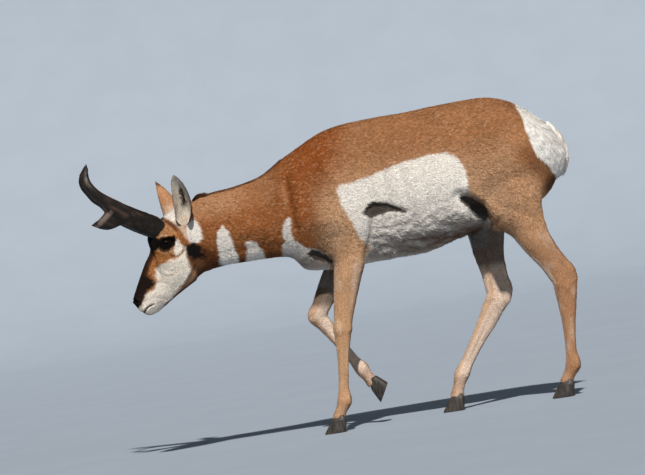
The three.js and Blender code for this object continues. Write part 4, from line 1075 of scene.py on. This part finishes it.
rootColours = coatColour(roots + rootLie * rootLength[:, None] * 0.5, rootNormals)
rx, ry, rz = roots.T
legRoot = (rz < 462) & (rx > -140)
parts = {
    "coat_head": rx < -340,
    "coat_foreleg_left": legRoot & (rx < 230) & (ry < 0),
    "coat_foreleg_right": legRoot & (rx < 230),
    "coat_hindleg_left": legRoot & (ry < 0),
    "coat_hindleg_right": legRoot,
    "coat_neck": rx < -40,
    "coat_shoulder": rx < 130,
    "coat_ribs": rx < 270,
    "coat_flank": rx < 410,
    "coat_loin": rx < 550,
    "coat_haunch": rx >= 550,
}
taken = np.zeros(len(roots), bool)
coatPieces = []
for k, (name, chosen) in enumerate(parts.items()):
    chosen = chosen & ~taken
    taken |= chosen
    coatPieces.append(growTufts(name, *(v[chosen] for v in (
        roots, rootNormals, rootLie, rootLength, rootWidth, rootLift, rootColours)), 20 + k))
    say("%s: %d tufts, %d triangles" % (name, chosen.sum(), chosen.sum() * 3))

skinShade = 0.88
skin = writeMesh("skin", skinVerts, skinFaces, coatColour(skinVerts, skinNormals) * skinShade)


# Mane along the nape and longer hair on the tail
def napeRoots(count, draw):
    x = -336 + 266 * draw.uniform(0, 1, count) ** 1.6
    rows = smoothRows(neckFlesh, 200, middleOf)
    z = np.interp(x, rows[:, 0], rows[:, 1])
    slope = np.interp(x, rows[:-1, 0], np.diff(rows[:, 1]) / np.diff(rows[:, 0]))
    y = draw.normal(0, 5, count)
    z = z - np.abs(y) * 0.3 - 5
    n = unit(np.stack([-slope, y * 0.03, np.ones(count)], 1))
    lie = unit(np.stack([np.ones(count), y * 0.01, slope], 1))
    return np.stack([x, y, z], 1), n, lie


draw = np.random.default_rng(31)
maneAt, maneUp, maneLie = napeRoots(4200, draw)
behindEars = smoothstep(-296, -318, maneAt[:, 0])
maneDark = np.clip(draw.uniform(0.2, 1, len(maneAt)) + behindEars, 0, 1)
maneTint = blendTo(np.tile(colour["neckTop"], (len(maneAt), 1)), maneDark, colour["rumpDark"])
mane = growTufts("mane", maneAt, maneUp, maneLie, 14 + 8 * behindEars, np.full(len(maneAt), 2.2),
                 0.10 + 0.1 * behindEars, maneTint, 41, blade="long", sway=0.16)

tailRoots, tailFaces = closedGrid(tailGrid(60, 40))
tailNormals = pointNormals(tailRoots, tailFaces)
tailAt, tailUp = scatter(tailRoots, tailFaces, tailNormals, np.full(len(tailFaces), 0.7 * share), 43)
outer = tailUp[:, 0] > -0.3
tailAt, tailUp = tailAt[outer], tailUp[outer]
still = 0 * tailAt[:, 0]
tailLie = unit(np.stack([still + 0.1, tailAt[:, 1] * 0.01, still - 1], 1))
tailHair = growTufts("tail_hair", tailAt, tailUp, tailLie, still + 18.0, still + 2.6, still + 0.08,
                     coatColour(tailAt, tailUp), 44, blade="long", sway=0.12)

# Ears: a leaf curled into a cup, an outer and an inner wall joined at the rim
earPose = {
    "left": {
        "root": (-366, -44, 664), "tip": (-381, -90, 804), "opens": (-0.35, -0.9, -0.1), "blunt": 0.62},
    "right": {
        "root": (-384, 44, 666), "tip": (-424, 90, 798), "opens": (-0.62, 0.78, -0.15), "blunt": 0.85},
}
ear = {"width": 53.0, "thick": 2.4, "widestAt": 0.42, "bow": 9.0}


def earShell(pose, rows=70, columns=44):
    root, tip, opens = [np.array(pose[k], float) for k in ("root", "tip", "opens")]
    up = tip - root
    size = np.linalg.norm(up)
    up = up / size
    opens = unit(opens - up * (opens @ up))
    across = np.cross(up, opens)
    t = np.linspace(0, 1, rows)[:, None]
    above = np.clip((t - ear["widestAt"]) / (1 - ear["widestAt"]), 0, 0.999)
    below = np.clip((ear["widestAt"] - t) / ear["widestAt"], 0, 1)
    leaf = (1 - above ** 2.2) ** pose["blunt"] * (1 - 0.97 * below ** 4) ** 0.5
    half = np.maximum(ear["width"] / 2 * leaf, 0.9)
    curl = 2.2 - 1.2 * t
    radius = half / np.sin(np.minimum(curl, np.pi / 2))
    back = ear["bow"] * np.sin(np.pi * t)
    bowed = np.array([1.0, 0, 0]) * back[..., None]
    walls = []
    for inset in (1.0, 1.0 + ear["thick"]):
        j = np.linspace(-1, 1, columns)[None]
        thin = inset * (1 - 0.55 * np.abs(j) ** 4) if inset > 1 else inset + 0 * j
        r = np.maximum(radius - thin * np.minimum(half / 8, 1), 0.2)
        angle = curl * j
        fold = 1.2 * np.sin(j * 9) * smoothstep(0.1, 0.3, t) * smoothstep(0.9, 0.6, t) * (inset > 1)
        forward = -(r + fold) * np.cos(angle) + radius * 0.6 - back * 0.3
        walls.append(root + up * (size * t)[..., None] + across * (r * np.sin(angle))[..., None]
                     + opens * forward[..., None] + bowed)
    loop = np.concatenate([walls[0], walls[1][:, ::-1]], 1)
    verts, faces = closedGrid(loop)
    height = np.repeat(t, columns * 2, 1)
    j = np.linspace(-1, 1, columns)
    inner = np.concatenate([np.zeros((rows, columns)), np.ones((rows, columns))], 1)
    edge = np.repeat(np.abs(np.r_[j, j[::-1]])[None], rows, 0)
    fields = [np.r_[f.ravel(), f[0].mean(), f[-1].mean()] for f in (height, inner, edge)]
    return turnHead(verts), faces, fields, up


def earTint(p, fields, footCoatAndShade):
    height, inner, edge = fields
    rough = noise(p, 5, 8) * 0.06
    fine = noise(p * [1, 1, 0.25], 3, 9)
    tint = np.tile(colour["earBack"], (len(p), 1))
    tint = blendTo(tint, smoothstep(0.80, 0.97, height + rough), colour["black"] * 3)
    inside = np.tile(colour["earIn"], (len(p), 1))
    # Painted shade: the deep middle of the cup's inner wall is darkened
    middle = smoothstep(0.28, 0.1, edge + rough * 2 + fine * 0.06)
    middle = middle * smoothstep(0.2, 0.36, height) * smoothstep(0.82, 0.6, height)
    inside = blendTo(inside, middle, colour["hollow"] * 0.7)
    inside = blendTo(inside, smoothstep(0.1, 0.5, fine) * 0.3, colour["jaw"])
    inside = blendTo(inside, smoothstep(0.35, 0.1, height) * 0.5, colour["white"])
    tint = tint + (inside - tint) * inner[:, None]
    tint = blendTo(tint, smoothstep(0.93, 0.985, edge + rough * 0.4) * smoothstep(0.3, 0.5, height) * 0.85,
                   colour["rumpDark"] * 0.5)
    return blendTo(tint, smoothstep(0.5, 0.24, height + rough) * (1 - inner) * 0.8, colour[footCoatAndShade])


ears, earHair = [], []
for k, (name, pose) in enumerate(earPose.items()):
    verts, faces, fields, up = earShell(pose)
    # The near ear's foot is dark brown as painted shade; the far ear's foot has its cream coat
    footCoatAndShade = "rumpDark" if name == "left" else "cream"
    tint = earTint(verts, fields, footCoatAndShade)
    piece = writeMesh("ear_skin_" + name, verts, faces, tint * 0.85)
    ears.append(piece)
    normals = pointNormals(verts, faces)
    faceHeight = fields[0][faces].mean(1)
    at, out = scatter(verts, faces, normals, np.where(faceHeight > 0.02, 0.6, 0) * share, 60 + k)
    # Fields at each root come from the nearest corner of the wall that faces the same way
    nearest = np.empty(len(at), int)
    for start in range(0, len(at), 400):
        part = slice(start, start + 400)
        gapTo = ((at[part, None] - verts[None, ::3]) ** 2).sum(-1) - 40 * (out[part] @ normals[::3].T)
        nearest[part] = gapTo.argmin(1) * 3
    rootTint = earTint(at, [f[nearest] for f in fields], footCoatAndShade)
    inner = fields[1][nearest]
    wayUp = turnHead(np.array([napeX, 0, 0]) + up) - turnHead(np.array([napeX, 0.0, 0.0]))
    lie = np.tile(wayUp, (len(at), 1))
    lie = unit(lie - out * (lie * out).sum(1, keepdims=True))
    size = 4.5 + 7.5 * inner * (fields[0][nearest] < 0.7) * (fields[2][nearest] < 0.75)
    earHair.append(growTufts("ear_hair_" + name, at, out, lie, size, np.full(len(at), 1.3),
                             np.full(len(at), 0.13), rootTint, 70 + k))
say("ears")

# Eyes: a ball with a slightly raised cornea, drawn along its own outward axis
eyes = []
for name, side in (("left", -1), ("right", 1)):
    lat = np.linspace(0.02, np.pi - 0.02, 48)[:, None]
    lon = 2 * np.pi * np.arange(64)[None] / 64
    proud = eye["radius"] + 1.1 * smoothstep(0.62, 0.2, lat)
    ball = np.stack([proud * np.sin(lat) * np.cos(lon), side * proud * np.cos(lat) + 0 * lon,
                     proud * np.sin(lat) * np.sin(lon)], -1)
    verts, faces = closedGrid(ball + np.array([eye["x"], side * eye["y"], eye["z"]]))
    away = np.arccos(np.clip(side * (verts[:, 1] - side * eye["y"]) / (eye["radius"] + 0.5), -1, 1))
    u, v = verts[:, 0] - eye["x"], verts[:, 2] - eye["z"]
    pupil = smoothstep(1.15, 0.9, np.hypot(u / 9.5, v / 5.5))
    iris = smoothstep(17.2, 16.0, np.hypot(u, v)) * (away < 1.4)
    tint = np.tile(np.array((0.005, 0.004, 0.004)), (len(verts), 1))
    tint = blendTo(tint, iris, np.array((0.006, 0.0035, 0.0025)))
    tint = blendTo(tint, pupil, np.array((0.002, 0.002, 0.003)))
    eyes.append(writeMesh("eyeball_" + name, turnHead(verts), faces, tint))

# Horns: a flat beam and its prong, joined on a voxel grid, then furrowed along their length
# Rows: rear edge x and z, front edge x and z, out from the middle plane, half thickness
hornBeam = [
    (-420, 668, -458, 630, 34, 17), (-440, 693, -478, 645, 42, 18), (-468, 709, -501, 658, 56, 16.5),
    (-500, 727, -524, 673, 71, 15), (-531, 745, -550, 692, 86, 13.5), (-556, 762, -578, 722, 96, 12.5),
    (-577, 776, -596, 749, 103, 12), (-596, 791, -616, 768, 108, 11.5), (-610, 807, -631, 791, 109, 11),
    (-619, 824, -643, 811, 106, 10), (-622, 842, -647, 831, 99, 9), (-620, 860, -642, 853, 89, 7),
]
hornProng = [
    (-540, 742, -534, 694, 82, 8), (-566, 744, -562, 684, 90, 9), (-586, 733, -584, 681, 95, 7.5),
    (-606, 716, -603, 686, 97, 5), (-618, 710, -617, 693, 96, 3.5),
]
beamTip, prongTip = (-622, 78, 880), (-634, 92, 702)


def hornMiddle(rows):
    return np.stack([(rows[:, 0] + rows[:, 2]) / 2, rows[:, 4], (rows[:, 1] + rows[:, 3]) / 2], 1)


def bladeShell(table, tip, side, count):
    # Lens section between rear and front edge: along = |cos|^0.75, out = sin, closed round the tip
    rows = smoothRows(table, count, hornMiddle)
    turn = 2 * np.pi * np.arange(72)[None] / 72
    rx, rz, fx, fz, y, half = [c[:, None] for c in rows.T]
    c, o = np.cos(turn), np.sin(turn)
    c = np.sign(c) * np.abs(c) ** 0.75
    x = (rx + fx) / 2 + (fx - rx) / 2 * c
    z = (rz + fz) / 2 + (fz - rz) / 2 * c
    grid = np.stack([x, side * (y + o * half), z], -1)
    end = np.array([tip[0], side * tip[1], tip[2]], float)
    close = [end + (grid[-1] - end) * math.cos(a) for a in np.linspace(0.5, 1.45, 8)]
    return closedGrid(np.concatenate([grid, np.array(close)], 0))


horns = []
for name, side in (("left", -1), ("right", 1)):
    verts, faces = remeshed(*joinShells([bladeShell(hornBeam, beamTip, side, 120),
                                         bladeShell(hornProng, prongTip, side, 60)]), 1.8)
    verts = relaxed(verts, faces, 6, np.full(len(verts), 0.5))
    normals = pointNormals(verts, faces)
    along = (-verts[:, 0] - 420) * 0.8 + (verts[:, 2] - 640) * 0.55
    base = smoothstep(150, 20, along)
    across = (verts[:, 2] - 640) * 0.8 + (verts[:, 0] + 460) * 0.55
    stretched = np.stack([along * 0.16, across, verts[:, 1]], 1)
    furrow = noise(stretched, 6.5, 3) * 0.9 + noise(stretched, 3.0, 4) * 0.45
    knob = np.maximum(noise(verts, 9, 6), 0.1) * 1.6 + noise(verts, 4, 7) * 0.4
    verts = verts + normals * ((furrow * (0.35 + 0.65 * base)) + knob * base)[:, None]
    worn = smoothstep(0.0, 1.0, noise(stretched, 9, 9) + 0.4 * smoothstep(700, 760, verts[:, 2]))
    tint = np.tile(colour["horn"], (len(verts), 1))
    middle = smoothstep(60, 130, along) * smoothstep(260, 180, along)
    tint = blendTo(tint, worn * (0.25 + 0.5 * middle), np.array((0.075, 0.042, 0.026)))
    hook = smoothstep(10, 3, lineDistance(verts[:, 0], verts[:, 2], ((-577, 727), (-612, 700))))
    tint = blendTo(tint, hook * 0.55, np.array((0.24, 0.17, 0.14)))
    horns.append(writeMesh("horn_sheath_" + name, turnHead(verts), faces, tint))
say("horns")

# Hooves: two toes each, a rounded wall down to a flat sole, with growth rings
hoof = {"length": 62.0, "coronetLength": 44.0, "width": 25.0, "coronetWidth": 21.0, "height": 38.0,
        "lean": 15.0, "cleft": 1.6}
toeShells = []
for leg in legs.values():
    for inner in (False, True):
        t = np.linspace(0, 1.3, 48)[:, None]
        turn = 2 * np.pi * np.arange(56)[None] / 56
        length = hoof["length"] + (hoof["coronetLength"] - hoof["length"]) * t
        width = hoof["width"] + (hoof["coronetWidth"] - hoof["width"]) * t
        pinch = 1 - 0.035 * smoothstep(0.06, 0, t) - 0.05 * smoothstep(0.94, 1, t)
        pinch = pinch - 0.45 * smoothstep(1, 1.3, t)
        rings = 0.25 * np.sin(t * 60) * smoothstep(0.1, 0.3, t)
        y = np.sin(turn) * (width / 2 * pinch + rings) * (1 - 0.5 * np.cos(turn))
        x = -hoof["lean"] * (1 - t) + 2 * t - np.cos(turn) * (length / 2 * pinch + rings)
        away = (hoof["width"] + hoof["cleft"]) / 2 * leg["side"]
        y = y + (-away if inner else away)
        z = -hoof["height"] + hoof["height"] * t + 0 * turn
        a = math.radians(-leg["hoofTilt"])
        c, s = math.cos(a), math.sin(a)
        toe = np.stack([x * c + z * s, y, z * c - x * s], -1)
        jx, jz = leg["joints"][-1]
        toeShells.append(closedGrid(toe + np.array([jx, leg["side"] * leg["across"][-1], jz])))
hooves = writeMesh("hooves", *joinShells(toeShells))
say("hooves")

# Materials
fur = Paint("fur", 0.78, 0.1)
tone = fur.noise(380.0, 2.0)
shaded = fur.mix(fur.ramp(tone, 0.35, 0.65), (0.7, 0.68, 0.66), (1.14, 1.14, 1.14))
fur.put("Base Color", fur.mix(1.0, fur.attribute("coatColour"), shaded, "MULTIPLY"))
fur.put("Roughness", 0.66 + 0.2 * tone)
fur.on(*coatPieces, mane, tailHair, *earHair)

skinPaint = Paint("skin", 0.8, 0.1)
grain = skinPaint.noise(620.0, 3.0, stretch=(0.4, 1.0, 1.0))
grained = skinPaint.mix(skinPaint.ramp(grain, 0.3, 0.7), (0.8, 0.8, 0.8), (1.02, 1.02, 1.02))
skinPaint.put("Base Color", skinPaint.mix(1.0, skinPaint.attribute("coatColour"), grained, "MULTIPLY"))
skinPaint.put("Roughness", 0.7 + 0.2 * grain)
skinPaint.bump(grain, 0.0012, 0.6)
skinPaint.on(skin, *ears)

wet = Paint("wetEye", 0.08, 0.06)
speck = wet.noise(900.0, 2.0)
wet.put("Base Color", wet.attribute("coatColour"))
wet.put("Roughness", 0.06 + 0.08 * speck)
wet.on(*eyes)

hornPaint = Paint("horn", 0.45, 0.3)
fine = hornPaint.noise(220.0, 4.0, stretch=(1.0, 1.0, 0.35))
hornPaint.put("Base Color", hornPaint.mix(hornPaint.ramp(fine, 0.5, 0.9), hornPaint.attribute("coatColour"),
                                          (0.03, 0.018, 0.012)))
hornPaint.put("Roughness", 0.34 + 0.3 * fine)
hornPaint.bump(fine, 0.0008, 0.5)
hornPaint.on(*horns)

nail = Paint("nail", 0.4, 0.45)
streak = nail.noise(160.0, 3.0, stretch=(1.0, 1.0, 0.2))
nail.put("Base Color", nail.mix(nail.ramp(streak, 0.35, 0.75), (0.022, 0.018, 0.016), (0.07, 0.055, 0.043)))
nail.put("Roughness", 0.35 + 0.3 * streak)
nail.bump(streak, 0.0006, 0.5)
nail.on(hooves)

# What each piece stands for
limbs = ("forearm", "cannon", "gaskin")
flesh = [n for n in nodeNames if n in ("torso", "neck", "head", "tail") or n.endswith(limbs)]
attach(skin, "root")
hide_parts(*flesh)
for piece in (*coatPieces, mane, tailHair, *earHair, *ears, *eyes, *horns, hooves):
    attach(piece, "root")
for piece in ears:
    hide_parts(piece.name.replace("ear_skin", "ear"))
for piece in eyes:
    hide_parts(piece.name.replace("eyeball", "eye"))
for piece in horns:
    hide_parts(piece.name.replace("horn_sheath", "horn"))
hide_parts(*[n for n in nodeNames if "_hoof_" in n])

# Floor curving up into a backdrop in metres, lights and camera. The photo's ground slopes, so the camera
# is rolled instead.
stage = {"halfWidth": 22.0, "near": -18.0, "bendFrom": 12.0, "bend": 6.0, "height": 20.0}
quarter = np.linspace(0, np.pi / 2, 24)
curve = np.stack([stage["bendFrom"] + stage["bend"] * np.sin(quarter),
                  stage["bend"] - stage["bend"] * np.cos(quarter)], 1)
wallAt = stage["bendFrom"] + stage["bend"]
profile = np.concatenate([[(stage["near"], 0)], curve, [(wallAt, stage["height"])]])
edgeLeft = np.concatenate([np.full((len(profile), 1), -stage["halfWidth"]), profile], 1)
stageVerts = np.concatenate([edgeLeft, edgeLeft * [-1, 1, 1]])
first = np.arange(len(profile) - 1)
stageFaces = np.stack([first, first + len(profile), first + len(profile) + 1, first + 1], 1)
stageMesh = bpy.data.meshes.new("floor")
stageMesh.from_pydata(stageVerts.tolist(), [], stageFaces.tolist())
stageMesh.polygons.foreach_set("use_smooth", np.ones(len(stageFaces), bool))
floor = bpy.data.objects.new("floor", stageMesh)
bpy.context.scene.collection.objects.link(floor)
ground = Paint("floor", 0.9, 0.1)
mottle = ground.ramp(ground.noise(3.0, 2.0), 0.3, 0.7)
ground.put("Base Color", ground.mix(mottle, (0.30, 0.345, 0.40), (0.31, 0.355, 0.41)))
ground.on(floor)
world = bpy.data.worlds.new("studio")
bpy.context.scene.world = world
world.use_nodes = True
world.node_tree.nodes["Background"].inputs["Color"].default_value = (0.62, 0.78, 1.0, 1)
world.node_tree.nodes["Background"].inputs["Strength"].default_value = 0.07
bpy.context.scene.view_settings.view_transform = "Standard"


def sun(name, towards, strength, softness, tint):
    data = bpy.data.lights.new(name, "SUN")
    data.energy, data.angle, data.color = strength, math.radians(softness), tint
    made = bpy.data.objects.new(name, data)
    bpy.context.scene.collection.objects.link(made)
    back = np.array(towards, float) / np.linalg.norm(towards)
    right = np.cross((0, 0, 1.0), back)
    right = right / np.linalg.norm(right)
    axes = np.stack([right, np.cross(back, right), back], 1)
    made.matrix_world = Matrix([(*row, 0) for row in axes] + [(0, 0, 0, 1)])
    made.location = back * 6
    return made


sun("key", (0.02, -0.65, 0.75), 4.35, 2.0, (1.0, 0.965, 0.92))
sun("fill", (0.8, -0.7, 0.35), 0.25, 20.0, (0.8, 0.9, 1.0))

photo = {"metresAcross": 1.8705, "roll": math.radians(9), "distance": 9.5}
aim = np.array([(23 + shiftX) / 1000, 0.0, 0.562])
camera = bpy.data.objects.new("camera", bpy.data.cameras.new("camera"))
bpy.context.scene.collection.objects.link(camera)
camera.data.sensor_width = 36
camera.data.lens = 36 * photo["distance"] / photo["metresAcross"]
camera.data.clip_end = 100
c, s = math.cos(photo["roll"]), math.sin(photo["roll"])
camera.matrix_world = Matrix([(c, s, 0, aim[0]), (0, 0, -1, -photo["distance"]), (-s, c, 0, aim[2]),
                              (0, 0, 0, 1)])
bpy.context.scene.camera = camera

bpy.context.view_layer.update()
say("done")
